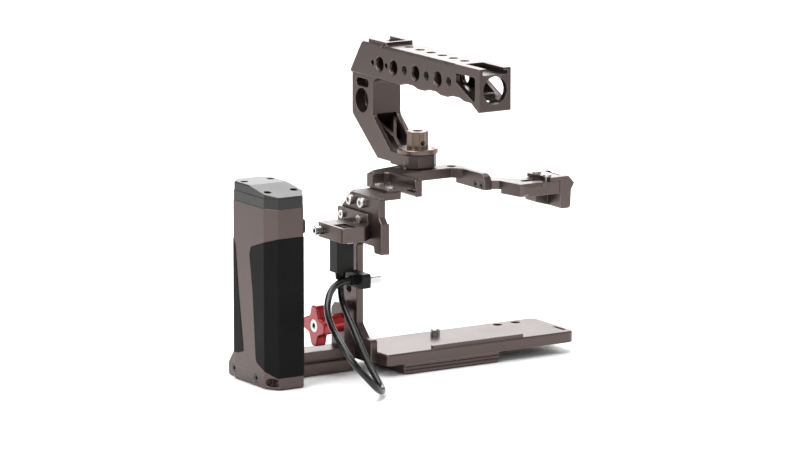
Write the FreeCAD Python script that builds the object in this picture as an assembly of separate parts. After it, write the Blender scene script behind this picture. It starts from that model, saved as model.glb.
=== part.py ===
import FreeCAD, Part
import math
import os

# Camera cage rig: a cage for a small camera, with a side grip, a top handle,
# a cable clamp with its short lead and a sliding end bracket. Millimetres.
# The origin is the centre of the tripod thread, on the underside of the quick
# release plate. X points right as seen from behind the camera, Y points the way
# the lens looks and Z points up.

Vec = FreeCAD.Vector

# Clearances that the fits share
running_gap = 0.06
free_gap = 0.3
thread_gap = 0.1

# Quick release plate
plate_length = 73.0
plate_width = 46.0
plate_height = 6.8
plate_corner = 2.0
plate_groove = 1.2
plate_chamfer = 0.8
tripod_thread_radius = 3.175
plate_screw_spread = 26.0
small_screw_radius = 1.5
small_head_radius = 2.75
small_head_height = 1.6

# Base plate
base_left = -49.7
base_right = 95.0
base_rear = -23.0
base_front = 27.0
base_height = 7.2
base_corner = 6.0
base_chamfer = 1.0
strap_slot_width = 2.6
strap_slot_length = 13.4
strap_slot_edge = 4.5
strap_slot_centre_y = -10.3
lip_height = 2.2
lip_width = 3.0
lip_length = 70.0

# Camera screw with its folding ring
lens_axis_x = 8.5
camera_screw_y = 12.0
screw_head_radius = 7.0
screw_head_height = 3.4
screw_neck_radius = 3.1
screw_reach = 5.0
ring_wire_radius = 0.7
ring_reach = 5.2

# Side wall
wall_thick = 4.8
wall_front = 26.0
wall_rear = -20.5
wall_top = 115.6
wall_foot_rear = -10.7
wall_foot_height = 22.0
pillar_depth = 19.5
window_top = 84.0
rear_tab_top = 101.5
rear_tab_bottom = 79.7
rear_tab_reach = 2.8
rear_tab_depth = 9.0
wall_slant = 11.5
shelf_right = -28.0
shelf_rear = -6.0
shelf_front = 18.0
shelf_thick = 4.6

# Top frame
frame_thick = 6.4
frame_axis_x = 9.5
frame_inner_half = 21.5
leg_width = 5.2
bar_rear = 20.5
bar_front = 33.0
bar_left = -28.0
left_end_rear = 29.5
left_end_front = 42.0
left_end_drop = 3.1
left_leg_rear = -4.5
left_leg_drop = 4.8
right_leg_rear = -12.3
right_leg_drop = 3.9
right_leg_round = 5.0
inside_corner = 5.0
accessory_hole_x = 29.6
accessory_hole_y = 25.9
socket_screw_radius = 2.4
socket_head_radius = 3.4
socket_head_height = 3.0

# Right arm and its sliding end bracket
arm_top = 117.7
arm_thick = 8.2
arm_rear = -36.0
arm_front = -14.0
arm_right = 73.5
arm_left = 44.4
arm_link_width = 5.6
arm_slot_x = 51.0
arm_slot_length = 15.0
arm_slot_width = 5.2
arm_slot_y = -24.0
arm_chamfer = 2.3
bracket_gap = 0.3
bracket_travel = 3.0
bracket_wing_left = 62.8
bracket_wing_thick = 2.4
bracket_plate_thick = 7.6
bracket_bottom = 99.3
bracket_front = -9.0
bracket_nose = 3.0
bracket_slot_width = 5.0
bracket_slot_length = 18.0
bracket_slot_y = -22.5
hook_reach = 9.5
hook_height = 8.6
hook_depth = 12.0

# Top handle
handle_axis_x = 9.5
handle_width = 24.5
handle_rear = -57.2
handle_top = 199.5
handle_front = 99.0
handle_nose_y = 85.0
handle_body_height = 22.3
handle_nose_rise = 2.3
handle_tail_drop = 6.3
handle_bevel = 1.6
arm_inset = 1.55
pillar_rear = 73.5
pillar_bottom = 149.7
handle_heel_y = 67.7
handle_heel_z = 124.2
arm_rear_foot_y = 51.5
foot_bottom = 122.9
foot_top = 130.9
foot_corner = 4.65
foot_gap = 0.0
hole_line_depth = 12.5
hole_pitch = 26.8
large_hole_radius = 4.7
medium_hole_radius = 3.175
small_hole_radius = 1.9
tail_hole_radius = 9.0
tail_hole_depth = 14.1
tail_wall = 4.4
scallop_depth = 1.5
scallop_chord = 27.8
eye_radius = 8.2
eye_y = 87.0
eye_z = 159.7
shoe_opening = 13.0
shoe_slot_width = 18.8
shoe_lip = 1.6
shoe_depth = 4.0
rear_shoe_length = 25.0
front_shoe_rear = 57.0
front_shoe_length = 23.0
front_shoe_rise = 2.2
channel_wall = 3.2
channel_floor = 3.6

# Handle knob and the screw under it
knob_axis_y = 35.3
knob_disc_radius = 13.4
knob_disc_height = 3.0
knob_body_radius = 7.0
knob_body_height = 11.0
knob_lobes = 6
knob_lobe_radius = 2.6
knob_cross_hole = 1.6
washer_radius = 10.2
washer_height = 0.9
knob_screw_radius = 3.1

# Lock knob on the front of the handle
lock_knob_radius = 4.4
lock_knob_height = 5.0
lock_knob_place = 24.0
lock_stem_radius = 1.8
lug_radius = 4.0
lug_height = 4.0

# Cable clamp
clamp_top = 98.0
clamp_thick = 9.5
clamp_left = -78.5
clamp_rear = -15.7
clamp_front = 15.0
flange_thick = 2.0
flange_front = 26.8
flange_rear = -9.9
flange_top = 104.6
flange_screw_y = 20.8
flange_screw_spread = 21.5
flange_screw_z = 100.0
clamp_screw_y = 11.0
clamp_screw_head_radius = 3.0
clamp_screw_head_length = 5.0
clamp_screw_shank_radius = 1.6
clamp_screw_reach = 12.0
adapter_width = 12.4
adapter_depth = 17.6
adapter_height = 30.0
adapter_left = -78.0
socket_length = 14.4
socket_breadth = 5.0
socket_wall = 0.5

# Short lead from the adapter to its plug
cord_radius = 2.2
plug_left = -66.3
plug_tail = 3.0
plug_right = -50.4
plug_depth = 19.5
plug_height = 9.4
plug_rear = -19.6
plug_centre_z = 62.9
plug_tip_length = 9.5
relief_length = 4.6
relief_radius = 3.6

# Side grip
grip_left = -134.0
grip_width = 29.0
grip_rear = -20.5
grip_depth = 53.5
grip_height = 116.0
grip_corner_x = 5.5
grip_corner_y = 9.0
grip_toe = 6.0
grip_toe_height = 17.0
grip_wall = 2.6
pad_thick = 1.3
pad_bottom = 8.6
pad_drop_rear = 17.5
collar_height = 6.4
lid_front_height = 5.6
lid_rear_height = 0.9
lid_slope_y = 8.0
lid_inset = 0.5
lid_screw_radius = 2.4
cell_gap = 1.0
button_length = 9.0
button_width = 12.0
button_reach = 2.4
button_drop = 14.5
button_y = -4.5
button_travel = 1.0

# Grip foot bar, its upright and the star knob
bar_foot_rear = 5.0
bar_foot_width = 20.0
bar_foot_height = 7.6
bar_foot_lift = 0.3
bar_step_height = 6.8
bar_step_inset = 4.0
upright_thick = 8.0
upright_height = 43.0
upright_gap = 0.0
star_axis_y = 14.0
star_axis_z = 30.5
star_radius = 13.4
star_lobe_radius = 4.4
star_lobes = 5
star_seat_radius = 4.3
star_head_radius = 4.2
star_thick = 7.0
star_left = -82.5
star_screw_radius = 3.0
star_hub_radius = 6.0
locating_pin_radius = 1.6
locating_pin_spread = 9.0
locating_pin_reach = 2.2

# Places that follow from the sizes above
base_bottom = plate_height
base_top = base_bottom + base_height
wall_right = base_left
wall_left = wall_right - wall_thick
frame_bottom = wall_top
handle_belly = handle_top - handle_body_height
handle_nose_z = handle_belly + handle_nose_rise
handle_tail_bottom = handle_belly - handle_tail_drop
hole_line_z = handle_top - hole_line_depth
tail_hole_z = handle_top - tail_hole_depth
frame_top = frame_bottom + frame_thick
leg_left_inner = frame_axis_x - frame_inner_half
leg_left_outer = leg_left_inner - leg_width
leg_right_inner = frame_axis_x + frame_inner_half
leg_right_outer = leg_right_inner + leg_width
bracket_left = arm_right + bracket_gap
bracket_right = bracket_left + bracket_plate_thick
wing_bottom = arm_top + bracket_gap
bracket_top = wing_bottom + bracket_wing_thick
handle_left = handle_axis_x - handle_width / 2
handle_right = handle_axis_x + handle_width / 2
stem_left = handle_left + arm_inset
stem_right = handle_right - arm_inset
foot_rear = knob_axis_y - (stem_right - stem_left) / 2
flange_left = wall_left - flange_thick
clamp_bottom = clamp_top - clamp_thick
adapter_bottom = clamp_top - adapter_height
adapter_top = clamp_top - 1.2
grip_right = grip_left + grip_width
grip_front = grip_rear + grip_depth
collar_top = grip_height + collar_height
button_z = grip_height - button_drop
pad_top_rear = grip_height - pad_drop_rear
upright_left = wall_left - upright_thick
relief_bottom = adapter_bottom - relief_length
cord_exit_z = relief_bottom

# Route of the lead, from the plug to the strain relief under the adapter
cord_points = [
    (plug_left - plug_tail, -10.0, plug_centre_z),
    (-77.6, -10.0, plug_centre_z),
    (-86.0, -12.8, 58.6),
    (-94.4, -21.8, 49.9),
    (-101.8, -39.0, 43.0),
    (-106.4, -56.7, 36.9),
    (-106.2, -73.4, 24.9),
    (-98.3, -79.6, 14.6),
    (-91.8, -78.3, 8.0),
    (-82.4, -70.3, 3.0),
    (-77.7, -60.7, 4.1),
    (-77.4, -50.4, 11.4),
    (-77.2, -40.6, 20.0),
    (-76.6, -30.0, 29.6),
    (-75.2, -19.0, 38.6),
    (-73.9, -7.9, 47.4),
    (-73.2, -4.2, 56.2),
    (-73.2, -4.2, cord_exit_z),
]


def block(x, y, z):
    """Box between three pairs of limits."""
    return Part.makeBox(x[1] - x[0], y[1] - y[0], z[1] - z[0], Vec(x[0], y[0], z[0]))


def lift(along, level, a, b):
    """Point of a flat outline that stands across one axis at a level."""
    if along == "x":
        return Vec(level, a, b)
    if along == "y":
        return Vec(a, level, b)
    return Vec(a, b, level)


def axis_of(along):
    """Unit vector of an axis name."""
    return {"x": Vec(1, 0, 0), "y": Vec(0, 1, 0), "z": Vec(0, 0, 1)}[along]


def rod(start, along, radius, length):
    """Round bar from a start point along an axis."""
    return Part.makeCylinder(radius, length, Vec(*start), axis_of(along))


def round_corner(before, corner, after, radius):
    """Start, middle and end of the arc that rounds a corner of a path."""
    back = (before - corner).normalize()
    ahead = (after - corner).normalize()
    half = back.getAngle(ahead) / 2
    reach = radius / math.tan(half)
    centre = corner + (back + ahead).normalize() * (radius / math.sin(half))
    middle = centre + (corner - centre).normalize() * radius
    return corner + back * reach, middle, corner + ahead * reach


def outline(points, along, level):
    """Closed wire; a third number on a point is the radius of that corner."""
    corners = [lift(along, level, p[0], p[1]) for p in points]
    radii = [p[2] if len(p) > 2 else 0 for p in points]
    marks = []
    for i, corner in enumerate(corners):
        if radii[i] > 0:
            after = corners[(i + 1) % len(corners)]
            marks.append(round_corner(corners[i - 1], corner, after, radii[i]))
        else:
            marks.append((corner, None, corner))
    edges = []
    for i, (start, middle, end) in enumerate(marks):
        if middle is not None:
            edges.append(Part.Arc(start, middle, end).toShape())
        following = marks[(i + 1) % len(marks)][0]
        if (following - end).Length > 1e-6:
            edges.append(Part.LineSegment(end, following).toShape())
    return Part.Wire(edges)


def slab(points, along, low, high):
    """Solid with a flat outline, between two levels of an axis."""
    return Part.Face(outline(points, along, low)).extrude(axis_of(along) * (high - low))


def rectangle(a, b, radius=0):
    """Outline points of a rectangle with equal corners."""
    return [(a[0], b[0], radius), (a[1], b[0], radius), (a[1], b[1], radius), (a[0], b[1], radius)]


def slot(centre_a, centre_b, length_a, width_b, along, low, high):
    """Slot with round ends, its long side along the first coordinate."""
    half = width_b / 2
    reach = length_a / 2
    points = rectangle((centre_a - reach, centre_a + reach), (centre_b - half, centre_b + half),
                       half * 0.999)
    return slab(points, along, low, high)


def chamfer_level(shape, along, level, size):
    """Chamfer every edge that lies flat at a level of an axis."""
    index = "xyz".index(along)
    chosen = []
    for edge in shape.Edges:
        points = edge.discretize(3)
        if all(abs(p[index] - level) < 1e-4 for p in points):
            chosen.append(edge)
    return shape.makeChamfer(size, chosen)


def fuse(shapes):
    """Join shapes into one solid and clean the seams."""
    return shapes[0].multiFuse(shapes[1:]).removeSplitter()


def cut(shape, tools):
    """Take tools away from a shape."""
    return shape.cut(Part.makeCompound(tools))


def hex_socket(start, along, across, depth):
    """Six sided recess for a key."""
    radius = across / math.sqrt(3)
    points = []
    centre = {"x": (start[1], start[2]), "y": (start[0], start[2]), "z": (start[0], start[1])}[along]
    for i in range(6):
        turn = math.radians(60 * i)
        points.append((centre[0] + radius * math.cos(turn), centre[1] + radius * math.sin(turn)))
    level = start["xyz".index(along)]
    return slab(points, along, level, level + depth)


def save(name, shape):
    """Write one sub-part and print its volume."""
    shape.exportStep("parts/" + name + ".step")
    print(name, "solids", len(shape.Solids), "valid", shape.isValid(), "cm3", round(shape.Volume / 1000, 3))


def quick_release_plate():
    """Plate with tripod thread, side grooves and two countersunk holes."""
    half_x = plate_length / 2
    half_y = plate_width / 2
    body = slab(rectangle((-half_x, half_x), (-half_y, half_y), plate_corner), "z", 0, plate_height)
    body = chamfer_level(body, "z", 0, plate_chamfer)
    tools = [rod((0, 0, -1), "z", tripod_thread_radius, plate_height + 2)]
    for side in (-1, 1):
        deep = side * (half_y - plate_groove)
        edge = side * (half_y + 1)
        middle = plate_height / 2
        groove = [(deep, middle - 0.6), (deep, middle + 0.6), (edge, middle + 0.6 + plate_groove + 1),
                  (edge, middle - 0.6 - plate_groove - 1)]
        tools.append(slab(groove, "x", -half_x - 1, half_x + 1))
        x = side * plate_screw_spread
        tools.append(rod((x, 0, -1), "z", small_screw_radius + thread_gap, plate_height + 2))
        tools.append(rod((x, 0, -1), "z", small_head_radius + thread_gap, small_head_height + 1))
    access = screw_head_radius + 0.5
    tools.append(rod((lens_axis_x, camera_screw_y, -1), "z", access, plate_height + 2))
    return cut(body, tools)


def plate_screws():
    """Two socket screws that hold the quick release plate."""
    screws = []
    for side in (-1, 1):
        x = side * plate_screw_spread
        head = rod((x, 0, 0), "z", small_head_radius, small_head_height)
        shank = rod((x, 0, 0), "z", small_screw_radius, plate_height + base_height * 0.6)
        key = hex_socket((x, 0, -0.1), "z", 2.0, small_head_height * 0.7)
        screws.append(head.fuse(shank).cut(key))
    return Part.makeCompound(screws)


def base_plate():
    """Machined plate under the camera, with a strap slot and a rear lip."""
    points = [(base_left, base_rear, 1.5), (base_right, base_rear, base_corner),
              (base_right, base_front, base_corner), (base_left, base_front, 1.5)]
    body = slab(points, "z", base_bottom, base_top)
    body = chamfer_level(body, "z", base_top, base_chamfer)
    lip_x = lens_axis_x + 12
    lip = slab(rectangle((lip_x - lip_length / 2, lip_x + lip_length / 2),
                         (base_rear + 1.4, base_rear + 1.4 + lip_width), 1.2),
               "z", base_top - 1, base_top + lip_height)
    body = fuse([body, lip])
    slot_x = base_right - strap_slot_edge
    tools = [slab(rectangle((slot_x - strap_slot_width / 2, slot_x + strap_slot_width / 2),
                            (strap_slot_centre_y - strap_slot_length / 2,
                             strap_slot_centre_y + strap_slot_length / 2), 1.2),
                  "z", base_bottom - 1, base_top + 1)]
    tools.append(rod((lens_axis_x, camera_screw_y, base_bottom - 1), "z",
                     screw_head_radius + running_gap, screw_head_height + 1))
    tools.append(rod((lens_axis_x, camera_screw_y, base_bottom), "z",
                     screw_neck_radius + running_gap, base_height + 2))
    for side in (-1, 1):
        x = side * plate_screw_spread
        tools.append(rod((x, 0, base_bottom - 1), "z", small_screw_radius + 0.02,
                         base_height * 0.6 + 1.2))
    for y in wall_screw_places():
        tools.append(rod((base_left - 1, y, base_bottom + base_height / 2), "x",
                         small_screw_radius + 0.02, 11))
    for x in (62.0, 76.0):
        tools.append(rod((x, base_front - 7, base_bottom - 1), "z", medium_hole_radius, base_height + 2))
    recess = slab(rectangle((40.0, 84.0), (base_rear + 9, base_front - 13), 3), "z",
                  base_bottom - 1, base_bottom + 2.4)
    tools.append(recess)
    return cut(body, tools)


def wall_screw_places():
    """Places along Y of the screws between side wall and base plate."""
    return (wall_foot_rear + 6, wall_front - 7)


def camera_screw():
    """Thumb screw that holds the camera, with a slot and ears for the ring."""
    head = rod((lens_axis_x, camera_screw_y, base_bottom), "z", screw_head_radius, screw_head_height)
    neck = rod((lens_axis_x, camera_screw_y, base_bottom), "z", screw_neck_radius,
               base_height + screw_reach)
    body = head.fuse(neck)
    hollow = rod((lens_axis_x, camera_screw_y, base_bottom - 1), "z", screw_head_radius - 1.2, 2.7)
    key = block((lens_axis_x - 4.6, lens_axis_x + 4.6), (camera_screw_y - 0.7, camera_screw_y + 0.7),
                (base_bottom + 1, base_bottom + 2.9))
    body = body.cut(hollow).cut(key)
    return chamfer_level(body, "z", base_top + screw_reach, 0.8)


def camera_screw_ring():
    """Folding wire ring on the thumb screw, lying flat in its hollow."""
    z = base_bottom + 0.85
    start = Vec(lens_axis_x - ring_reach + 0.9, camera_screw_y, z)
    end = Vec(lens_axis_x + ring_reach - 0.9, camera_screw_y, z)
    middle = Vec(lens_axis_x, camera_screw_y - ring_reach + 0.9, z)
    bow = Part.Wire([Part.Arc(start, middle, end).toShape()])
    profile = Part.Wire([Part.makeCircle(ring_wire_radius, start, Vec(0, 1, 0))])
    wire = bow.makePipeShell([profile], True, True)
    bar = rod((start.x - ring_wire_radius, camera_screw_y, z), "x", ring_wire_radius,
              end.x - start.x + 2 * ring_wire_radius)
    return wire.fuse(bar)


def side_wall():
    """Left wall of the cage with its port window, rear tab and top shelf."""
    pillar_back = wall_front - pillar_depth
    points = [
        (wall_foot_rear, base_bottom, 1), (wall_front, base_bottom, 2),
        (wall_front, wall_top - wall_slant, 3), (wall_front - wall_slant, wall_top, 1.5),
        (wall_rear, wall_top, 1), (wall_rear, rear_tab_top + 2, 1),
        (wall_rear - rear_tab_reach, rear_tab_top - 1.5, 1),
        (wall_rear - rear_tab_reach, rear_tab_bottom, 0.8),
        (wall_rear - rear_tab_reach + rear_tab_depth, rear_tab_bottom, 0.8),
        (wall_rear - rear_tab_reach + rear_tab_depth, window_top, 2),
        (pillar_back, window_top, 4), (pillar_back, wall_foot_height + 8, 3),
        (pillar_back - 8, wall_foot_height, 3), (wall_foot_rear, wall_foot_height, 2)]
    body = slab(points, "x", wall_left, wall_right)
    body = chamfer_level(body, "x", wall_left, 0.5)
    shelf = slab([(wall_right - 1, shelf_rear, 0), (shelf_right, shelf_rear, 2),
                  (shelf_right, shelf_front, 2), (wall_right - 1, shelf_front, 0)],
                 "z", wall_top - shelf_thick, wall_top)
    tab = block((wall_right - 0.5, wall_right + 1.3),
                (wall_rear - rear_tab_reach, wall_rear + 2), (rear_tab_bottom, rear_tab_top - 2))
    body = fuse([body, shelf, tab])
    tools = []
    for y in wall_screw_places():
        tools.append(rod((wall_left - 1, y, base_bottom + base_height / 2), "x",
                         small_screw_radius + thread_gap, wall_thick + 2))
        tools.append(rod((wall_left - 1, y, base_bottom + base_height / 2), "x",
                         small_head_radius + thread_gap, small_head_height + 1))
    for y in shelf_screw_places():
        tools.append(rod((shelf_right - 6, y, wall_top - shelf_thick - 1), "z",
                         small_screw_radius + 0.02, shelf_thick + 2))
    for y in top_socket_places():
        tools.append(rod((wall_left - 1, y, top_socket_z()), "x", socket_screw_radius + thread_gap,
                         wall_thick + 2))
    for i in range(2):
        y = flange_screw_y - i * flange_screw_spread
        tools.append(rod((wall_left - 1, y, flange_screw_z), "x", small_screw_radius + 0.02, wall_thick + 2))
    tools.append(rod((wall_left - 1, star_axis_y, star_axis_z), "x", star_screw_radius + 0.05,
                     wall_thick + 2))
    for side in (-1, 1):
        tools.append(rod((wall_left - 1, star_axis_y, star_axis_z + side * locating_pin_spread), "x",
                         locating_pin_radius + 0.05, wall_thick + 2))
    for z in (52.0, 66.0, 80.0):
        tools.append(rod((wall_left - 1, wall_front - pillar_depth / 2, z), "x", medium_hole_radius,
                         wall_thick + 2))
    return cut(body, tools)


def shelf_screw_places():
    """Places along Y of the screws between top frame and wall shelf."""
    return (shelf_rear + 6, shelf_front - 6)


def top_socket_places():
    """Places along Y of the two large screws at the top of the wall."""
    return (12.4, -1.7)


def top_socket_z():
    """Height of the two large screws at the top of the wall."""
    return wall_top - 4.9


def wall_screws():
    """Small screws that hold the side wall to the base plate."""
    screws = []
    z = base_bottom + base_height / 2
    for y in wall_screw_places():
        head = rod((wall_left, y, z), "x", small_head_radius, small_head_height)
        shank = rod((wall_left, y, z), "x", small_screw_radius, wall_thick + 9)
        screws.append(head.fuse(shank).cut(hex_socket((wall_left - 0.1, y, z), "x", 2.0, 1.2)))
    return Part.makeCompound(screws)


def wall_socket_screws():
    """Two large socket screws at the top of the side wall."""
    screws = []
    z = top_socket_z()
    for y in top_socket_places():
        head = rod((wall_left - socket_head_height, y, z), "x", socket_head_radius, socket_head_height)
        head = chamfer_level(head, "x", wall_left - socket_head_height, 0.4)
        shank = rod((wall_left - 0.5, y, z), "x", socket_screw_radius, wall_thick + 0.4)
        key = hex_socket((wall_left - socket_head_height - 0.1, y, z), "x", 3.2, 2.0)
        screws.append(head.fuse(shank).cut(key))
    return Part.makeCompound(screws)


def top_frame():
    """Frame open to the rear round the camera's shoe, with a boss for the handle."""
    corner = inside_corner
    boss = 12.4
    plan = [
        (bar_left, left_end_rear, 1), (leg_left_outer - 2, left_end_rear, 0),
        (leg_left_outer, left_end_rear - 2, 0), (leg_left_outer, left_leg_rear, 1),
        (leg_left_inner, left_leg_rear, 1), (leg_left_inner, bar_rear, 2),
        (leg_right_inner - corner, bar_rear, 0), (leg_right_inner, bar_rear - corner - 1, 0),
        (leg_right_inner, right_leg_rear, 0), (leg_right_outer, right_leg_rear, 0),
        (leg_right_outer, bar_front - 7, 2), (leg_right_outer - 6, bar_front, 2),
        (frame_axis_x + boss, bar_front, 1), (frame_axis_x + boss, knob_axis_y + 6, 6),
        (frame_axis_x + boss - 6, knob_axis_y + boss, 4),
        (frame_axis_x - boss + 6, knob_axis_y + boss, 4), (bar_left + 8, left_end_front, 2),
        (bar_left, left_end_front - 6, 2)]
    body = slab(plan, "z", frame_bottom, frame_top)
    body = chamfer_level(body, "z", frame_top, 0.5)
    left_leg = slab([(leg_left_outer, frame_bottom - left_leg_drop + 1, 0),
                     (leg_left_outer + 1, frame_bottom - left_leg_drop, 0),
                     (leg_left_inner, frame_bottom - left_leg_drop, 0.5),
                     (leg_left_inner, frame_top - 1, 0), (leg_left_outer, frame_top - 1, 0),
                     (leg_left_outer, frame_top - 4.6, 0), (leg_left_outer + 1.3, frame_top - 6, 0),
                     (leg_left_outer + 1.3, frame_top - 7.6, 0), (leg_left_outer, frame_top - 8.4, 0)],
                    "y", left_leg_rear, bar_rear + 4)
    right_leg = block((leg_right_inner, leg_right_outer), (right_leg_rear, bar_rear + 2),
                      (frame_bottom - right_leg_drop, frame_top - 1))
    left_end = slab(rectangle((bar_left, leg_left_outer + 2), (left_end_rear, left_end_front - 4), 1.2),
                    "z", frame_bottom - left_end_drop, frame_top - 1)
    tier = slab([(shelf_right + 2, shelf_rear + 4, 1), (leg_left_outer + 1, shelf_rear + 4, 0),
                 (leg_left_outer + 1, shelf_front, 0), (shelf_right + 2, shelf_front, 1)],
                "z", frame_bottom, frame_bottom + 1.8)
    tongue = slab([(shelf_right - 11, shelf_rear + 1, 1.5), (shelf_right + 3, shelf_rear + 1, 0),
                   (shelf_right + 3, shelf_front - 1, 0), (shelf_right - 11, shelf_front - 1, 1.5)],
                  "z", frame_bottom, frame_bottom + 1.8)
    body = fuse([body, left_leg, right_leg, left_end, tier, tongue])
    rear_round = slab([(right_leg_rear - 1, frame_top + 1, 0), (right_leg_rear - 1, frame_top - right_leg_round, 0),
                       (right_leg_rear, frame_top - right_leg_round, 0),
                       (right_leg_rear + 1.6, frame_top - 1.6, 0),
                       (right_leg_rear + right_leg_round, frame_top, 0),
                       (right_leg_rear + right_leg_round, frame_top + 1, 0)],
                      "x", leg_right_inner - 1, leg_right_outer + 1)
    tools = [rear_round, rod((accessory_hole_x, accessory_hole_y, frame_bottom - 1), "z",
                             medium_hole_radius, frame_thick + 2)]
    tools.append(rod((frame_axis_x, knob_axis_y, frame_bottom - 1), "z", knob_screw_radius + 0.05,
                     frame_thick + 2))
    for side in (-1, 1):
        tools.append(rod((frame_axis_x + side * locating_pin_spread, knob_axis_y, frame_bottom - 1),
                         "z", locating_pin_radius + 0.05, frame_thick + 2))
    for y in shelf_screw_places():
        tools.append(rod((shelf_right - 6, y, frame_bottom - 1), "z", small_screw_radius + thread_gap, 6))
    for y in arm_screw_places():
        tools.append(rod((leg_right_inner - 1, y, arm_screw_z()), "x", small_screw_radius + thread_gap,
                         leg_width + 2))
        tools.append(rod((leg_right_inner - 1, y, arm_screw_z()), "x",
                         small_head_radius + thread_gap, small_head_height + 1))
    return cut(body, tools)


def arm_screw_places():
    """Places along Y of the screws between right leg and arm."""
    return (right_leg_rear + 4.5, right_leg_rear + 11.5)


def arm_screw_z():
    """Height of the screws between right leg and arm."""
    return arm_top - arm_link_width + 2.2


def arm_screws():
    """Two screws through the right leg into the arm."""
    screws = []
    z = arm_screw_z()
    for y in arm_screw_places():
        head = rod((leg_right_inner, y, z), "x", small_head_radius, small_head_height)
        shank = rod((leg_right_inner, y, z), "x", small_screw_radius, leg_width + 4)
        screws.append(head.fuse(shank).cut(hex_socket((leg_right_inner - 0.1, y, z), "x", 2.0, 1.2)))
    return Part.makeCompound(screws)


def shelf_screws():
    """Screws from the top frame down into the wall shelf."""
    screws = []
    base = frame_bottom + 1.8
    for y in shelf_screw_places():
        head = rod((shelf_right - 6, y, base), "z", small_head_radius, small_head_height)
        shank = rod((shelf_right - 6, y, base - 5.6), "z", small_screw_radius, 5.8)
        key = hex_socket((shelf_right - 6, y, base + small_head_height - 1.1), "z", 2.0, 1.2)
        screws.append(head.fuse(shank).cut(key))
    return Part.makeCompound(screws)


def foot_pins():
    """Two pins that keep the handle from turning on the frame."""
    pins = []
    for side in (-1, 1):
        x = frame_axis_x + side * locating_pin_spread
        pins.append(rod((x, knob_axis_y, frame_bottom + 1), "z", locating_pin_radius,
                        frame_thick + locating_pin_reach))
    return Part.makeCompound(pins)


def right_arm():
    """Arm that runs back and right from the frame, slotted for the bracket."""
    bend = arm_rear + 3
    plan = [
        (leg_right_outer, right_leg_rear + 0.4, 0), (leg_right_outer + 4.2, right_leg_rear - 2.4, 1),
        (arm_left - 0.4, bend, 1), (arm_left + 2, arm_rear, 1),
        (arm_right, arm_rear, 0.6), (arm_right, arm_front, 1),
        (arm_left + 9, arm_front, 4), (leg_right_outer + 4.4 + arm_link_width, right_leg_rear + 8, 3),
        (leg_right_outer + 4, right_leg_rear + 15, 2), (leg_right_outer, right_leg_rear + 15, 0)]
    body = slab(plan, "z", arm_top - arm_thick, arm_top)
    edge = [(arm_rear - 1, arm_top - arm_chamfer - 1, 0), (arm_rear + arm_chamfer + 1, arm_top + 1, 0),
            (arm_rear - 1, arm_top + 1, 0)]
    tools = [slab(edge, "x", arm_left - 2, bracket_wing_left - 2)]
    tools.append(block((leg_right_outer - 1, leg_right_outer + 12),
                       (right_leg_rear - 4, right_leg_rear + 16),
                       (arm_top - arm_thick - 1, arm_top - arm_link_width)))
    under = [(arm_rear - 1, arm_top - arm_thick - 1, 0), (arm_rear + 2.6, arm_top - arm_thick - 1, 0),
             (arm_rear - 1, arm_top - arm_thick + 2.6, 0)]
    tools.append(slab(under, "x", arm_left - 2, arm_left + 6))
    tools.append(slot(arm_slot_x + arm_slot_length / 2, arm_slot_y, arm_slot_length, arm_slot_width,
                      "z", arm_top - arm_thick - 1, arm_top + 1))
    for y in bracket_screw_places():
        tools.append(slot(bracket_screw_x() + bracket_travel / 2, y,
                          2 * small_screw_radius + 0.6 + bracket_travel,
                          2 * small_screw_radius + 0.6, "z", arm_top - arm_thick - 1, arm_top + 1))
    for y in arm_screw_places():
        tools.append(rod((leg_right_outer - 1, y, arm_screw_z()), "x", small_screw_radius + 0.02, 5.2))
    return cut(body, tools)


def bracket_screw_x():
    """Place along X of the bracket's two screws."""
    return arm_right - 6.5


def bracket_screw_places():
    """Places along Y of the bracket's two screws."""
    return (arm_rear + 5.6, arm_front - 4.2)


def end_bracket():
    """Bracket on the arm's end: wing, side plate, strap slot and lug hook."""
    shoulder = bracket_top - 4.8
    section = [
        (bracket_left, bracket_bottom, 1.2), (bracket_right, bracket_bottom, 2),
        (bracket_right + 0.6, bracket_top - 9.2, 0), (bracket_right + bracket_nose, shoulder, 0),
        (bracket_right - 1.4, bracket_top, 0), (bracket_left, bracket_top, 0)]
    side = slab(section, "y", arm_rear, bracket_front)
    wing = slab([(bracket_wing_left, bracket_front - 4, 1), (bracket_wing_left + 3, arm_rear + 9, 1),
                 (bracket_left - 7.6, arm_rear, 1), (bracket_left + 1, arm_rear, 0),
                 (bracket_left + 1, bracket_front, 0), (bracket_wing_left + 6, bracket_front, 1)],
                "z", wing_bottom, bracket_top)
    hook = slab([(bracket_left - hook_reach, bracket_bottom + 3, 1), (bracket_left + 1, bracket_bottom, 0),
                 (bracket_left + 1, arm_top - arm_thick - free_gap, 0),
                 (bracket_left - hook_reach, arm_top - arm_thick - free_gap, 0)],
                "y", bracket_front - hook_depth, bracket_front)
    body = fuse([side, wing, hook])
    slot_x = bracket_left + bracket_plate_thick * 0.62
    low = bracket_slot_y - bracket_slot_length / 2
    high = bracket_slot_y + bracket_slot_length / 2
    tools = [slab(rectangle((slot_x - bracket_slot_width / 2, slot_x + bracket_slot_width / 2),
                            (low, high), 2.2), "z", shoulder - 5, bracket_top + 1)]
    tools.append(block((slot_x - bracket_slot_width / 2, bracket_right + bracket_nose + 1), (low, high),
                       (bracket_bottom + 3.4, shoulder - 4.8)))
    for y in bracket_screw_places():
        tools.append(rod((bracket_screw_x(), y, wing_bottom - 1), "z", small_screw_radius + 0.04,
                         bracket_wing_thick + 2))
    return cut(body, tools)


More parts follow.
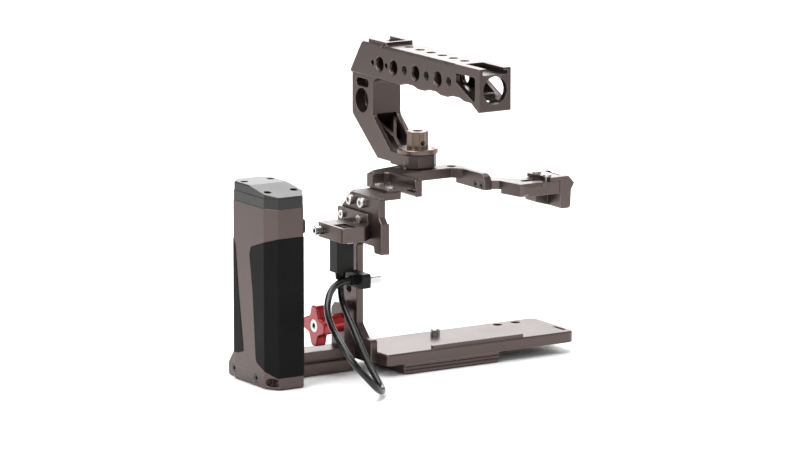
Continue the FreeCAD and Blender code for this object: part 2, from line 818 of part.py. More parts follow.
def bracket_screws():
    """Two screws from the wing down through the arm's slots, with their nuts."""
    screws = []
    for y in bracket_screw_places():
        head = rod((bracket_screw_x(), y, bracket_top), "z", small_head_radius, small_head_height)
        reach = bracket_wing_thick + bracket_gap + arm_thick - 1.0
        shank = rod((bracket_screw_x(), y, bracket_top - reach), "z", small_screw_radius, reach + 0.2)
        key = hex_socket((bracket_screw_x(), y, bracket_top + small_head_height - 1.1), "z", 2.0, 1.2)
        screws.append(head.fuse(shank).cut(key))
    return Part.makeCompound(screws)


def handle_side():
    """Side outline of the handle's grip part, with scallops for the fingers."""
    points = [(handle_rear, handle_tail_bottom, 1), (handle_rear, handle_top, 0.8),
              (handle_nose_y, handle_top, 4), (handle_front, handle_nose_z, 3)]
    points.append((handle_front, handle_belly, 0))
    points.append((pillar_rear - 5, handle_belly, 0))
    for i in range(4):
        low_y = 40.4 - i * scallop_chord
        points.append((low_y + 4, handle_belly - 0.4, 2))
        points.append((low_y - 4, handle_belly - 0.4, 2))
        if i < 3:
            points.append((low_y - scallop_chord / 2 + 4.5, handle_belly - 0.4 + scallop_depth, 4))
            points.append((low_y - scallop_chord / 2 - 4.5, handle_belly - 0.4 + scallop_depth, 4))
    return points


def handle_stem():
    """Pillar and slanted arm of the handle, down to its octagonal foot."""
    knee_y = pillar_rear
    points = [(handle_front, handle_belly + 2, 0), (handle_front, pillar_bottom, 4),
              (handle_heel_y, handle_heel_z, 3), (foot_front(), handle_heel_z, 0),
              (foot_front(), foot_top, 0), (arm_rear_foot_y, foot_top, 1),
              (knee_y, pillar_bottom + 1.5, 4), (knee_y, handle_belly - 2.5, 4),
              (knee_y - 7, handle_belly, 0), (knee_y - 7, handle_belly + 2, 0)]
    return slab(points, "x", stem_left, stem_right)


def foot_front():
    """Front of the octagonal foot."""
    return knob_axis_y + (stem_right - stem_left) / 2


def top_handle():
    """Handle body: scalloped grip, pillar, braced slanted arm and foot."""
    grip = slab(handle_side(), "x", handle_left, handle_right)
    grip = chamfer_level(grip, "x", handle_left, 0.6)
    grip = chamfer_level(grip, "x", handle_right, 0.6)
    stem = handle_stem()
    c = foot_corner
    foot = slab([(stem_left, foot_rear + c, 0), (stem_left + c, foot_rear, 0),
                 (stem_right - c, foot_rear, 0), (stem_right, foot_rear + c, 0),
                 (stem_right, arm_rear_foot_y, 0), (stem_left, arm_rear_foot_y, 0)],
                "z", foot_bottom, foot_top)
    pad = rod((handle_axis_x, knob_axis_y, frame_top), "z", 9.6, foot_bottom - frame_top + 1)
    rails = front_shoe_rails()
    body = fuse([grip, stem, foot, pad, rails])
    tools = handle_cross_holes() + handle_shoe_cuts() + handle_tail_cuts() + handle_stem_cuts()
    tools += handle_top_holes()
    bevel_front = handle_nose_y - 24
    for x, side in ((handle_left, -1), (handle_right, 1)):
        edge = [(x + side, handle_top - handle_bevel - 1, 0), (x - side * handle_bevel * 1.4, handle_top + 0.8, 0),
                (x + side, handle_top + 0.8, 0)]
        tools.append(slab(edge, "y", handle_rear + rear_shoe_length + 4, bevel_front))
    tools.append(rod((handle_axis_x, knob_axis_y, frame_top - 1), "z", knob_screw_radius + running_gap,
                     foot_top - frame_top + 2))
    start, out = on_slant(lock_knob_place, 1)
    tools.append(Part.makeCylinder(lock_stem_radius + running_gap, 5.4, start, out * -1))
    for side in (-1, 1):
        tools.append(rod((handle_axis_x + side * locating_pin_spread, knob_axis_y, frame_top - 1), "z",
                         locating_pin_radius + thread_gap, 6))
    return cut(body, tools)


def front_shoe_rails():
    """Raised lips of the front accessory shoe."""
    half = handle_width / 2 - 1.5
    low = front_shoe_rear
    high = front_shoe_rear + front_shoe_length
    return slab(rectangle((handle_axis_x - half, handle_axis_x + half), (low, high), 2), "z",
                handle_top - 1, handle_top + front_shoe_rise)


def shoe_cut(low, high, top):
    """Accessory shoe: a narrow opening over a wider slot."""
    opening = block((handle_axis_x - shoe_opening / 2, handle_axis_x + shoe_opening / 2), (low, high),
                    (top - shoe_depth, top + 1))
    slot_half = shoe_slot_width / 2
    undercut = block((handle_axis_x - slot_half, handle_axis_x + slot_half), (low, high),
                     (top - shoe_depth, top - shoe_lip))
    return opening.fuse(undercut)


def handle_shoe_cuts():
    """Both accessory shoes of the handle."""
    rear = shoe_cut(handle_rear - 1, handle_rear + rear_shoe_length, handle_top)
    front_top = handle_top + front_shoe_rise
    front = shoe_cut(front_shoe_rear + 2.5, front_shoe_rear + front_shoe_length + 6, front_top)
    return [rear, front]


def handle_cross_holes():
    """Accessory holes across the handle, large and medium by turns."""
    tools = []
    width = handle_width + 2
    for i in range(3):
        large_y = 45.6 - i * hole_pitch
        medium_y = large_y - hole_pitch / 2
        tools.append(rod((handle_left - 1, large_y, hole_line_z), "x", large_hole_radius, width))
        tools.append(rod((handle_left - 1, medium_y, hole_line_z), "x", medium_hole_radius, width))
    tools.append(rod((handle_left - 1, 62.6, hole_line_z), "x", large_hole_radius, width))
    for y in (71.3, 54.3):
        tools.append(rod((handle_left - 1, y, hole_line_z), "x", small_hole_radius, width))
    return tools


def handle_top_holes():
    """Row of threaded holes along the top."""
    tools = []
    for i in range(6):
        y = 45.6 - i * hole_pitch / 2
        tools.append(rod((handle_axis_x, y, handle_top - 7), "z", medium_hole_radius, 8))
    return tools


def handle_tail_cuts():
    """Window and round opening that hollow the tail of the handle."""
    front = handle_rear + 27.6
    back = handle_rear + tail_wall
    top = handle_top - shoe_depth - 1.6
    window = [(front, top, 2), (back, top, 2), (back, handle_tail_bottom + 7.5, 1.2),
              (back + 3.2, handle_tail_bottom + 7.5, 1), (front, hole_line_z + 1, 2)]
    tools = [slab(window, "x", handle_left - 1, handle_right + 1)]
    tools.append(rod((handle_axis_x, handle_rear - 1, tail_hole_z), "y", tail_hole_radius, 14))
    return tools


def handle_stem_cuts():
    """Eye and kidney slot in the pillar, and the hollow of the slanted arm."""
    tools = [rod((stem_left - 1, eye_y, eye_z), "x", eye_radius, 8.5)]
    tools.append(rod((stem_left - 1, eye_y + 1, eye_z + 2), "x", small_hole_radius + 1, 30))
    tools.append(slot(eye_y - 0.8, eye_z + 11.9, 15.4, 5.6, "x", stem_left - 1, stem_left + 7))
    run_y = pillar_rear - arm_rear_foot_y
    run_z = pillar_bottom + 1.5 - foot_top
    length = math.hypot(run_y, run_z)
    along = (run_y / length, run_z / length)
    across = (along[1], -along[0])
    low_left = stem_left + channel_wall
    low_right = stem_right - channel_wall
    hollow = []
    depth = slant_depth() - channel_floor
    for a, b in ((0.05, -0.1), (1.02, -0.1), (1.02, 1.0), (0.14, 1.0)):
        reach_y = arm_rear_foot_y + along[0] * length * a + across[0] * depth * b
        reach_z = foot_top + along[1] * length * a + across[1] * depth * b
        hollow.append((reach_y, reach_z, 0))
    trough = slab(hollow, "x", low_left, low_right)
    web = brace_web(along, across, length, depth, low_left, low_right)
    tools.append(trough.cut(web))
    tools += brace_windows(along, across, length, low_left, low_right)
    return tools


def slant_depth():
    """Thickness of the slanted arm, square to its run."""
    return 17.5


def brace_web(along, across, length, depth, low, high):
    """Cross brace left standing in the hollow of the slanted arm."""
    middle = (low + high) / 2
    web_half = 1.1
    pieces = []
    for side in (-1, 1):
        start = Vec(middle + side * (high - low) / 2, 0, length * 0.98)
        end = Vec(middle, 0, length * 0.45)
        pieces.append((start, end))
    pieces.append((Vec(middle, 0, length * 0.45), Vec(middle, 0, length * 0.02)))
    solids = []
    for start, end in pieces:
        run = end - start
        side = Vec(run.z, 0, -run.x).normalize() * web_half
        corners = [start + side, end + side, end - side, start - side]
        placed = []
        for corner in corners:
            y = arm_rear_foot_y + along[0] * corner.z + across[0] * 2.5
            z = foot_top + along[1] * corner.z + across[1] * 2.5
            placed.append(Vec(corner.x, y, z))
        face = Part.Face(Part.makePolygon(placed + placed[:1]))
        solids.append(face.extrude(Vec(0, across[0], across[1]) * (depth + 4)))
    return solids[0].fuse(solids[1]).fuse(solids[2])


def brace_windows(along, across, length, low, high):
    """Two openings through the floor of the slanted arm, beside the brace."""
    middle = (low + high) / 2
    tools = []
    for side in (-1, 1):
        near = middle + side * 2.2
        far = middle + side * ((high - low) / 2 - 0.8)
        flat = [(near, 0.2), (far, 0.2), (far, 0.72), (near, 0.36)]
        placed = []
        for x, share in flat:
            y = arm_rear_foot_y + along[0] * length * share + across[0] * 8
            z = foot_top + along[1] * length * share + across[1] * 8
            placed.append(Vec(x, y, z))
        face = Part.Face(Part.makePolygon(placed + placed[:1]))
        tools.append(face.extrude(Vec(0, across[0], across[1]) * 20))
    return tools


def foot_washer():
    """Dark washer between the knob and the handle's foot."""
    outer = rod((handle_axis_x, knob_axis_y, foot_top), "z", washer_radius, washer_height)
    return outer.cut(rod((handle_axis_x, knob_axis_y, foot_top - 1), "z",
                         knob_screw_radius + running_gap, washer_height + 2))


def handle_knob():
    """Bronze knob: wide disc under a lobed body with cross holes."""
    low = foot_top + washer_height + 0.05
    disc = rod((handle_axis_x, knob_axis_y, low), "z", knob_disc_radius, knob_disc_height)
    disc = chamfer_level(disc, "z", low + knob_disc_height, 0.5)
    body_low = low + knob_disc_height - 0.5
    body_top = low + knob_disc_height + knob_body_height
    core = rod((handle_axis_x, knob_axis_y, body_low), "z", knob_body_radius - 0.9, body_top - body_low)
    lobes = []
    for i in range(knob_lobes):
        turn = math.radians(360 / knob_lobes * i + 30)
        reach = knob_body_radius - knob_lobe_radius
        lobes.append(rod((handle_axis_x + reach * math.cos(turn), knob_axis_y + reach * math.sin(turn),
                          body_low), "z", knob_lobe_radius, body_top - body_low))
    shape = fuse([disc, core] + lobes)
    tools = [rod((handle_axis_x, knob_axis_y, low - 1), "z", knob_screw_radius + 0.02,
                 body_top - low - 0.6)]
    tools.append(rod((handle_axis_x, knob_axis_y - knob_body_radius - 1, body_top - 7.4), "y",
                     knob_cross_hole, 2 * knob_body_radius + 2))
    tools.append(rod((handle_axis_x, knob_axis_y, body_top - 1.2), "z", 3.4, 3))
    for i in range(4):
        turn = math.radians(90 * i + 45)
        tools.append(rod((handle_axis_x + 10.4 * math.cos(turn), knob_axis_y + 10.4 * math.sin(turn),
                          low - 1), "z", 1.5, knob_disc_height + 2))
    return cut(shape, tools)


def knob_screw():
    """Screw that the bronze knob turns, down into the frame."""
    low = frame_bottom + 0.8
    high = foot_top + washer_height + knob_disc_height + knob_body_height - 2
    return rod((handle_axis_x, knob_axis_y, low), "z", knob_screw_radius, high - low)


def slant_frame():
    """Direction down the handle's slanted front face, and a point on it."""
    run = Vec(0, handle_heel_y - handle_front, handle_heel_z - pillar_bottom)
    return run.normalize(), Vec(handle_axis_x, handle_front, pillar_bottom)


def on_slant(distance, lift_off):
    """Point at a distance down the slanted front face, lifted off it."""
    run, top = slant_frame()
    out = Vec(0, -run.z, run.y)
    return top + run * distance + out * lift_off, out


def lock_knob():
    """Small knurled knob on the front of the slanted arm."""
    start, out = on_slant(lock_knob_place, free_gap)
    body = Part.makeCylinder(lock_knob_radius, lock_knob_height, start, out)
    stem = Part.makeCylinder(lock_stem_radius, lock_knob_height, start - out * 4.3, out)
    return body.fuse(stem)


def strap_lug():
    """Rounded lug above the lock knob, screwed to the slanted arm."""
    start, out = on_slant(7.5, 0)
    return Part.makeCylinder(lug_radius, lug_height, start, out)


def cable_clamp():
    """L-shaped clamp: a flange on the wall and a thick plate round the adapter."""
    plate = slab([(clamp_left, clamp_front, 1), (clamp_left, clamp_rear, 1.5),
                  (flange_left - 5, clamp_rear, 4), (flange_left + flange_thick, flange_rear, 0),
                  (flange_left + flange_thick, clamp_front, 0)],
                 "z", clamp_bottom, clamp_top)
    flange = slab([(flange_front, flange_top, 1.5), (flange_front, clamp_bottom + 3, 1.5),
                   (flange_rear, clamp_bottom + 3, 1), (flange_rear, flange_top, 1.5)],
                  "x", flange_left, wall_left)
    body = fuse([plate, flange])
    pocket = block((adapter_left + 1.6, adapter_left + adapter_width - 1.4),
                   (clamp_rear + 1.6, clamp_rear + adapter_depth - 1.4), (clamp_bottom - 1, clamp_top + 1))
    tools = [pocket]
    for i in range(2):
        y = flange_screw_y - i * flange_screw_spread
        tools.append(rod((flange_left - 1, y, flange_screw_z), "x", small_screw_radius + thread_gap,
                         flange_thick + 2))
        tools.append(rod((flange_left - 6, y, flange_screw_z), "x", small_head_radius + free_gap, 6))
    tools.append(rod((clamp_left - 1, clamp_screw_y, clamp_screw_z()), "x",
                     clamp_screw_shank_radius + running_gap, clamp_screw_reach + 1.2))
    return cut(body, tools)


def clamp_screw_z():
    """Height of the clamp screw, in the middle of the clamp plate."""
    return clamp_bottom + clamp_thick / 2


def clamp_bracket_screws():
    """Two screws that hold the clamp's flange on the wall."""
    screws = []
    for i in range(2):
        y = flange_screw_y - i * flange_screw_spread
        head = rod((flange_left - small_head_height, y, flange_screw_z), "x", small_head_radius,
                   small_head_height)
        shank = rod((flange_left - 0.2, y, flange_screw_z), "x", small_screw_radius,
                    flange_thick + wall_thick)
        key = hex_socket((flange_left - small_head_height - 0.1, y, flange_screw_z), "x", 2.0, 1.2)
        screws.append(head.fuse(shank).cut(key))
    return Part.makeCompound(screws)


def clamp_screw():
    """Socket screw that tightens the clamp."""
    z = clamp_screw_z()
    left = clamp_left - clamp_screw_head_length - 0.05
    head = rod((left, clamp_screw_y, z), "x", clamp_screw_head_radius, clamp_screw_head_length)
    head = chamfer_level(head, "x", left, 0.4)
    shank = rod((left + 1, clamp_screw_y, z), "x", clamp_screw_shank_radius,
                clamp_screw_reach + clamp_screw_head_length - 1)
    return head.fuse(shank).cut(hex_socket((left - 0.1, clamp_screw_y, z), "x", 2.6, 3.2))


def cable_adapter():
    """Black adapter block held in the clamp, hollow for its socket."""
    left = adapter_left
    right = adapter_left + adapter_width
    rear = clamp_rear
    front = clamp_rear + adapter_depth
    body = slab(rectangle((left, right), (rear, front), 1.0), "z", adapter_bottom, clamp_bottom)
    neck = block((left + 1.6 + 0.02, right - 1.4 - 0.02), (rear + 1.6 + 0.02, front - 1.4 - 0.02),
                 (clamp_bottom - 0.5, adapter_top))
    body = fuse([body, neck])
    x = (left + right) / 2
    y = (rear + front) / 2
    hole = block((x - socket_breadth / 2, x + socket_breadth / 2),
                 (y - socket_length / 2, y + socket_length / 2), (adapter_top - 9, adapter_top + 1))
    return body.cut(hole)


def adapter_socket():
    """Bright metal socket shell inside the adapter, with its contact tongue."""
    x = adapter_left + adapter_width / 2
    y = clamp_rear + adapter_depth / 2
    outer = block((x - socket_breadth / 2, x + socket_breadth / 2),
                  (y - socket_length / 2, y + socket_length / 2), (adapter_top - 9, adapter_top))
    inner = block((x - socket_breadth / 2 + socket_wall, x + socket_breadth / 2 - socket_wall),
                  (y - socket_length / 2 + socket_wall, y + socket_length / 2 - socket_wall),
                  (adapter_top - 8.5, adapter_top + 1))
    tongue = block((x - 0.6, x + 0.6), (y - 4.8, y + 4.8), (adapter_top - 8.6, adapter_top - 1.5))
    return outer.cut(inner).fuse(tongue)


def strain_relief():
    """Tapered sleeve where the lead enters the adapter from below."""
    end = cord_points[-1]
    sleeve = Part.makeCone(cord_radius + 0.9, relief_radius, relief_length,
                           Vec(end[0], end[1], relief_bottom), Vec(0, 0, 1))
    return sleeve


def cord_path():
    """Straight runs and tangent arcs through the lead's points."""
    points = [Vec(*p) for p in cord_points]
    edges = []
    last = points[0]
    tightest = 1e9
    for i in range(1, len(points) - 1):
        before, corner, after = points[i - 1], points[i], points[i + 1]
        shorter = min((corner - before).Length, (after - corner).Length)
        turn = (corner - before).getAngle(after - corner)
        radius = 0.45 * shorter / math.tan(turn / 2)
        tightest = min(tightest, radius)
        start, middle, end = round_corner(before, corner, after, radius)
        if (start - last).Length > 1e-6:
            edges.append(Part.LineSegment(last, start).toShape())
        edges.append(Part.Arc(start, middle, end).toShape())
        last = end
        print("lead corner", i, "run", round(shorter, 1), "turn", round(math.degrees(turn), 1),
              "radius", round(radius, 1))
    edges.append(Part.LineSegment(last, points[-1]).toShape())
    print("tightest arc", round(tightest, 1))
    return Part.Wire(edges)


def video_lead():
    """The lead itself, a round tube along its route."""
    path = cord_path()
    start = Vec(*cord_points[0])
    heading = Vec(*cord_points[1]) - start
    profile = Part.Wire([Part.makeCircle(cord_radius, start, heading)])
    tube = path.makePipeShell([profile], True, False)
    expected = math.pi * cord_radius ** 2 * path.Length
    print("lead length", round(path.Length, 1), "volume share", round(tube.Volume / expected, 4))
    return tube


def plug_body():
    """Moulded plug of the lead, with its stepped tail."""
    low = plug_centre_z - plug_height / 2
    high = plug_centre_z + plug_height / 2
    body = slab(rectangle((plug_rear, plug_rear + plug_depth), (low, high), 1.6), "x", plug_left,
                plug_right - plug_tip_length)
    tail = rod((plug_left - plug_tail, -10.0, plug_centre_z), "x", cord_radius + 1.0, plug_tail + 0.2)
    return body.fuse(tail)


def plug_tip():
    """Bright metal shell at the end of the plug."""
    left = plug_right - plug_tip_length
    middle = plug_rear + plug_depth / 2
    outer = slab(rectangle((middle - 6.9, middle + 6.9), (plug_centre_z - 2.2, plug_centre_z + 2.2), 0.6),
                 "x", left, plug_right)
    inner = block((left + 2, plug_right + 1), (middle - 6.4, middle + 6.4),
                  (plug_centre_z - 1.7, plug_centre_z + 1.7))
    tongue = block((left + 1.5, plug_right - 1.2), (middle - 5.2, middle + 5.2),
                   (plug_centre_z - 0.4, plug_centre_z + 0.7))
    return outer.cut(inner).fuse(tongue)


def grip_plan(inset, front_extra=0.0):
    """Eight sided plan of the side grip, inset from its outer face."""
    left = grip_left + inset
    right = grip_right - inset
    rear = grip_rear + inset
    front = grip_front - inset + front_extra
    cx = grip_corner_x
    cy = grip_corner_y - inset * 0.4
    cf = cy * 0.7
    return [(left, rear + cy, 1.5), (left + cx, rear, 2), (right - cx, rear, 2), (right, rear + cy, 1.5),
            (right, front - cf, 1.5), (right - cx, front, 2), (left + cx, front, 2), (left, front - cf, 1.5)]


def pad_region_rear():
    """Volume of the rear rubber pad, seen from the side as a bevelled field."""
    top = pad_top_rear
    points = [(grip_rear - 2, pad_bottom, 0), (grip_rear + 13.5, pad_bottom + 1, 0),
              (grip_rear + 28.0, pad_bottom + 13.0, 3), (grip_rear + 31.5, pad_bottom + 25, 6),
              (grip_rear + 27.0, top - 32, 12), (grip_rear + 25.5, top - 6, 4),
              (grip_rear + 19, top - 1, 4), (grip_rear + 9, top + 1.5, 2), (grip_rear - 2, top + 4, 0)]
    return slab(points, "x", grip_left - 2, grip_right + 2)


def pad_region_front():
    """Volume of the front rubber pad."""
    top = grip_height
    points = [(grip_front + 2, top - 19.5, 0), (grip_front - 4, top - 23.5, 3), (grip_front - 10.5, top - 32, 5),
              (grip_front - 17.5, 22, 2), (grip_front - 16.5, 17.5, 1), (grip_front + 2, 11.5, 0)]
    return slab(points, "x", grip_left - 2, grip_right + 2)


def grip_shell():
    """Metal body of the side grip, hollow for the battery, with pad recesses."""
    outer = chamfer_level(slab(grip_plan(0), "z", 0, grip_height), "z", 0, 0.8)
    toe = slab([(grip_front - 8, 0, 0), (grip_front + grip_toe, 0, 1.5),
                (grip_front + grip_toe, grip_toe_height - 9, 2), (grip_front - 1, grip_toe_height, 3),
                (grip_front - 8, grip_toe_height, 0)],
               "x", grip_left + 3, grip_right - 3)
    body = fuse([outer, toe])
    recess = slab(grip_plan(-3), "z", 0, grip_height).cut(slab(grip_plan(pad_thick), "z", -1, grip_height + 1))
    rear = recess.common(pad_region_rear())
    front = recess.common(pad_region_front()).cut(toe)
    hollow = slab(grip_plan(grip_wall + pad_thick), "z", 5.0, grip_height + 1)
    tools = [rear, front, hollow]
    for y, z in grip_screw_places():
        tools.append(rod((grip_left - 1, y, z), "x", small_head_radius + 0.4 + thread_gap, 1 + small_head_height))
        tools.append(rod((grip_left - 1, y, z), "x", small_screw_radius + 0.02, 5.2))
    tools.append(block((grip_right - 8, grip_right + 1),
                       (button_y - button_width / 2 - 0.06, button_y + button_width / 2 + 0.06),
                       (button_z - button_length / 2 - 0.06, button_z + button_length / 2 + 0.06)))
    for x, y in foot_screw_places():
        tools.append(rod((x, y, -1), "z", small_screw_radius + thread_gap, 7))
    for x, y in lid_screw_places():
        tools.append(rod((x, y, grip_height - 6), "z", small_screw_radius + 0.02, 7))
    bosses = []
    for x, y in lid_screw_places():
        bosses.append(rod((x, y, grip_height - 9), "z", 3.4, 9))
    inner = slab(grip_plan(1.0), "z", grip_height - 10, grip_height)
    shell = cut(body, tools[:3])
    shell = shell.fuse(Part.makeCompound([b.common(inner) for b in bosses])).removeSplitter()
    return cut(shell, tools[3:])


def grip_screw_places():
    """Y and Z of the socket screws near the bottom of the grip."""
    return ((grip_front - 6.0, 6.6), (grip_rear + 19.5, 5.2))


def foot_screw_places():
    """X and Y of the screws that hold the grip's foot bar."""
    return ((grip_right - 6.5, bar_foot_rear + 5.0), (grip_right - 6.5, bar_foot_rear + 15.0))


def lid_screw_places():
    """X and Y of the four lid screws."""
    reach = 4.9
    return ((grip_left + reach, grip_rear + 12.5), (grip_right - reach, grip_rear + 12.5),
            (grip_left + reach, grip_front - 12.0), (grip_right - reach, grip_front - 12.0))


def grip_pad(region, keep_clear):
    """Rubber pad that fills a recess of the grip's face."""
    sheet = slab(grip_plan(-0.25), "z", 0.5, grip_height - 0.5)
    sheet = sheet.cut(slab(grip_plan(pad_thick), "z", -1, grip_height + 1))
    pad = sheet.common(region)
    return pad.cut(keep_clear)


def toe_block():
    """Space of the grip's toe, kept clear of the front pad."""
    return block((grip_left - 3, grip_right + 3), (grip_front - 8, grip_front + 9), (-1, grip_toe_height + 0.1))


def button_block():
    """Space of the side button, kept clear of the rear pad."""
    return block((grip_right - 9, grip_right + 4), (button_y - button_width / 2 - 1, button_y + button_width / 2 + 1),
                 (button_z - button_length / 2 - 1, button_z + button_length / 2 + 1))


def grip_collar():
    """Dark collar on top of the grip, a ring under the lid."""
    body = slab(grip_plan(0.2), "z", grip_height, collar_top)
    inner = slab(grip_plan(grip_wall + pad_thick + 5.2), "z", grip_height - 1, collar_top + 1)
    tools = [inner]
    for x, y in lid_screw_places():
        tools.append(rod((x, y, grip_height - 1), "z", small_screw_radius + thread_gap, collar_height + 2))
    return cut(body, tools)


def grip_lid():
    """Wedge lid: level in front, sloping down to the rear."""
    body = slab(grip_plan(lid_inset), "z", collar_top, collar_top + lid_front_height)
    body = chamfer_level(body, "z", collar_top + lid_front_height, 0.6)
    top = collar_top + lid_front_height
    slope = [(grip_rear - 2, collar_top + lid_rear_height, 0), (lid_slope_y, top + 0.01, 0),
             (lid_slope_y, top + 2, 0), (grip_rear - 2, top + 2, 0)]
    tools = [slab(slope, "x", grip_left - 2, grip_right + 2)]
    for x, y in lid_screw_places():
        floor = lid_seat(y)
        tools.append(rod((x, y, floor), "z", lid_screw_radius + thread_gap, 9))
        tools.append(rod((x, y, collar_top - 1), "z", small_screw_radius + thread_gap, 9))
    return cut(body, tools)


def lid_seat(y):
    """Height of a lid screw's seat."""
    return collar_top + (0.8 if y < lid_slope_y else lid_front_height - 1.9)


def lid_screws():
    """Four screws down through lid and collar."""
    screws = []
    for x, y in lid_screw_places():
        seat = lid_seat(y)
        head = rod((x, y, seat), "z", lid_screw_radius, 1.1)
        shank = rod((x, y, grip_height - 5), "z", small_screw_radius, seat - grip_height + 5.2)
        screws.append(head.fuse(shank).cut(hex_socket((x, y, seat + 0.3), "z", 1.8, 1.2)))
    return Part.makeCompound(screws)


def grip_side_screws():
    """Socket screws in the lower left face of the grip."""
    screws = []
    for y, z in grip_screw_places():
        head = rod((grip_left + 0.2, y, z), "x", small_head_radius + 0.4, small_head_height - 0.2)
        shank = rod((grip_left + 0.4, y, z), "x", small_screw_radius, 3.6)
        screws.append(head.fuse(shank).cut(hex_socket((grip_left + 0.1, y, z), "x", 2.2, 1.2)))
    return Part.makeCompound(screws)


def battery():
    """Battery block that fills the grip's hollow."""
    inset = grip_wall + pad_thick + cell_gap
    left = grip_left + inset
    right = grip_right - inset
    rear = grip_rear + inset + 4.5
    front = grip_front - inset - 4.5
    return slab(rectangle((left, right), (rear, front), 2), "z", 5.0, grip_height - 10)


def side_button():
    """Push button on the grip's inner face."""
    low = grip_right - grip_wall - pad_thick + 0.4
    body = slab(rectangle((button_y - button_width / 2, button_y + button_width / 2),
                          (button_z - button_length / 2, button_z + button_length / 2), 1.5),
                "x", low, grip_right + button_reach)
    return chamfer_level(body, "x", grip_right + button_reach, 0.6)


def foot_bar():
    """Stepped bar from the grip to the cage, with its upright and step."""
    rear = bar_foot_rear
    front = bar_foot_rear + bar_foot_width
    low = bar_foot_lift
    high = low + bar_foot_height
    step_top = high + bar_step_height
    plan = [(grip_right, rear, 0), (wall_left - 4.5, rear, 0), (wall_left - upright_gap, rear + 4, 0),
            (wall_left - upright_gap, front, 1), (grip_right, front, 0)]
    lower = slab(plan, "z", low, high)
    lower = chamfer_level(lower, "z", high, 0.6)
    step = slab([(grip_right, rear + bar_step_inset, 0), (wall_left, rear + bar_step_inset, 0),
                 (wall_left, front, 0), (grip_right, front, 0)], "z", high - 1, step_top)
    upright = slab([(rear + bar_step_inset, high - 1, 0), (front, high - 1, 0), (front, upright_height - 4, 3),
                    (front - 4, upright_height, 3), (rear + bar_step_inset + 4, upright_height, 3),
                    (rear + bar_step_inset, upright_height - 4, 3)],
                   "x", upright_left, wall_left)
    body = fuse([lower, step, upright])
    tools = [rod((upright_left - 1, star_axis_y, star_axis_z), "x", star_screw_radius + running_gap,
                 upright_thick + 2)]
    for side in (-1, 1):
        tools.append(rod((wall_left - 4, star_axis_y, star_axis_z + side * locating_pin_spread), "x",
                         locating_pin_radius + 0.02, 5))
    under = slab(rectangle((grip_right + 6, wall_left - 14), (rear + 5, front - 5), 2), "z", low - 1, low + 3)
    tools.append(under)
    return cut(body, tools)


def locating_pins():
    """Pins between the foot bar's upright and the side wall."""
    pins = []
    for side in (-1, 1):
        pins.append(rod((wall_left - 3.8, star_axis_y, star_axis_z + side * locating_pin_spread), "x",
                        locating_pin_radius, 3.8 + locating_pin_reach))
    return Part.makeCompound(pins)


def star_knob():
    """Red star knob with five lobes and a hub."""
    core = rod((star_left, star_axis_y, star_axis_z), "x", star_radius * 0.55, star_thick)
    lobes = []
    for i in range(star_lobes):
        turn = math.radians(360 / star_lobes * i + 90)
        reach = star_radius - star_lobe_radius
        tip = (star_axis_y + reach * math.cos(turn), star_axis_z + reach * math.sin(turn))
        lobes.append(rod((star_left, tip[0], tip[1]), "x", star_lobe_radius, star_thick))
        side = (-math.sin(turn) * star_lobe_radius, math.cos(turn) * star_lobe_radius)
        root = (star_axis_y, star_axis_z)
        arm = [(root[0] + side[0] * 1.15, root[1] + side[1] * 1.15, 0),
               (root[0] - side[0] * 1.15, root[1] - side[1] * 1.15, 0),
               (tip[0] - side[0], tip[1] - side[1], 0), (tip[0] + side[0], tip[1] + side[1], 0)]
        lobes.append(slab(arm, "x", star_left, star_left + star_thick))
    hub_length = upright_left - 0.3 - star_left - star_thick
    hub = rod((star_left + star_thick - 0.5, star_axis_y, star_axis_z), "x", star_hub_radius,
              hub_length + 0.5)
    body = fuse([core] + lobes + [hub])
    bore = rod((star_left - 1, star_axis_y, star_axis_z), "x", star_screw_radius + 0.02,
               star_thick + hub_length + 2)
    seat = rod((star_left - 1, star_axis_y, star_axis_z), "x", star_seat_radius, 3.0)
    return body.cut(bore).cut(seat)


def star_screw():
    """Bright screw through the star knob, upright and wall."""
    length = wall_right - 0.4 - star_left
    shank = rod((star_left + 0.2, star_axis_y, star_axis_z), "x", star_screw_radius, length - 0.2)
    head = rod((star_left + 0.2, star_axis_y, star_axis_z), "x", star_head_radius, 1.8)
    key = hex_socket((star_left, star_axis_y, star_axis_z), "x", 3.4, 2.6)
    return head.fuse(shank).cut(key)


def main():
    """Build every sub-part and write it."""
    os.makedirs("parts", exist_ok=True)
    rear_region = pad_region_rear()
    front_region = pad_region_front()
    builders = {
        "quick_release_plate": quick_release_plate, "plate_screws": plate_screws,
        "base_plate": base_plate, "camera_screw": camera_screw,
        "camera_screw_ring": camera_screw_ring, "side_wall": side_wall, "wall_screws": wall_screws,
        "wall_socket_screws": wall_socket_screws, "top_frame": top_frame, "shelf_screws": shelf_screws,
        "foot_pins": foot_pins, "right_arm": right_arm, "arm_screws": arm_screws,
        "end_bracket": end_bracket, "bracket_screws": bracket_screws, "top_handle": top_handle,
        "foot_washer": foot_washer, "handle_knob": handle_knob, "knob_screw": knob_screw,
        "lock_knob": lock_knob, "strap_lug": strap_lug, "cable_clamp": cable_clamp,
        "clamp_bracket_screws": clamp_bracket_screws, "clamp_screw": clamp_screw,
        "cable_adapter": cable_adapter, "adapter_socket": adapter_socket,
        "strain_relief": strain_relief, "video_lead": video_lead, "plug_body": plug_body,
        "plug_tip": plug_tip, "grip_shell": grip_shell, "grip_collar": grip_collar,
        "grip_lid": grip_lid, "lid_screws": lid_screws, "grip_side_screws": grip_side_screws,
        "battery": battery, "side_button": side_button, "foot_bar": foot_bar,
        "locating_pins": locating_pins, "star_knob": star_knob, "star_screw": star_screw,
    }
    for name, build in builders.items():
        save(name, build())
    save("grip_pad_rear", grip_pad(rear_region, button_block()))
    save("grip_pad_front", grip_pad(front_region, toe_block()))


main()
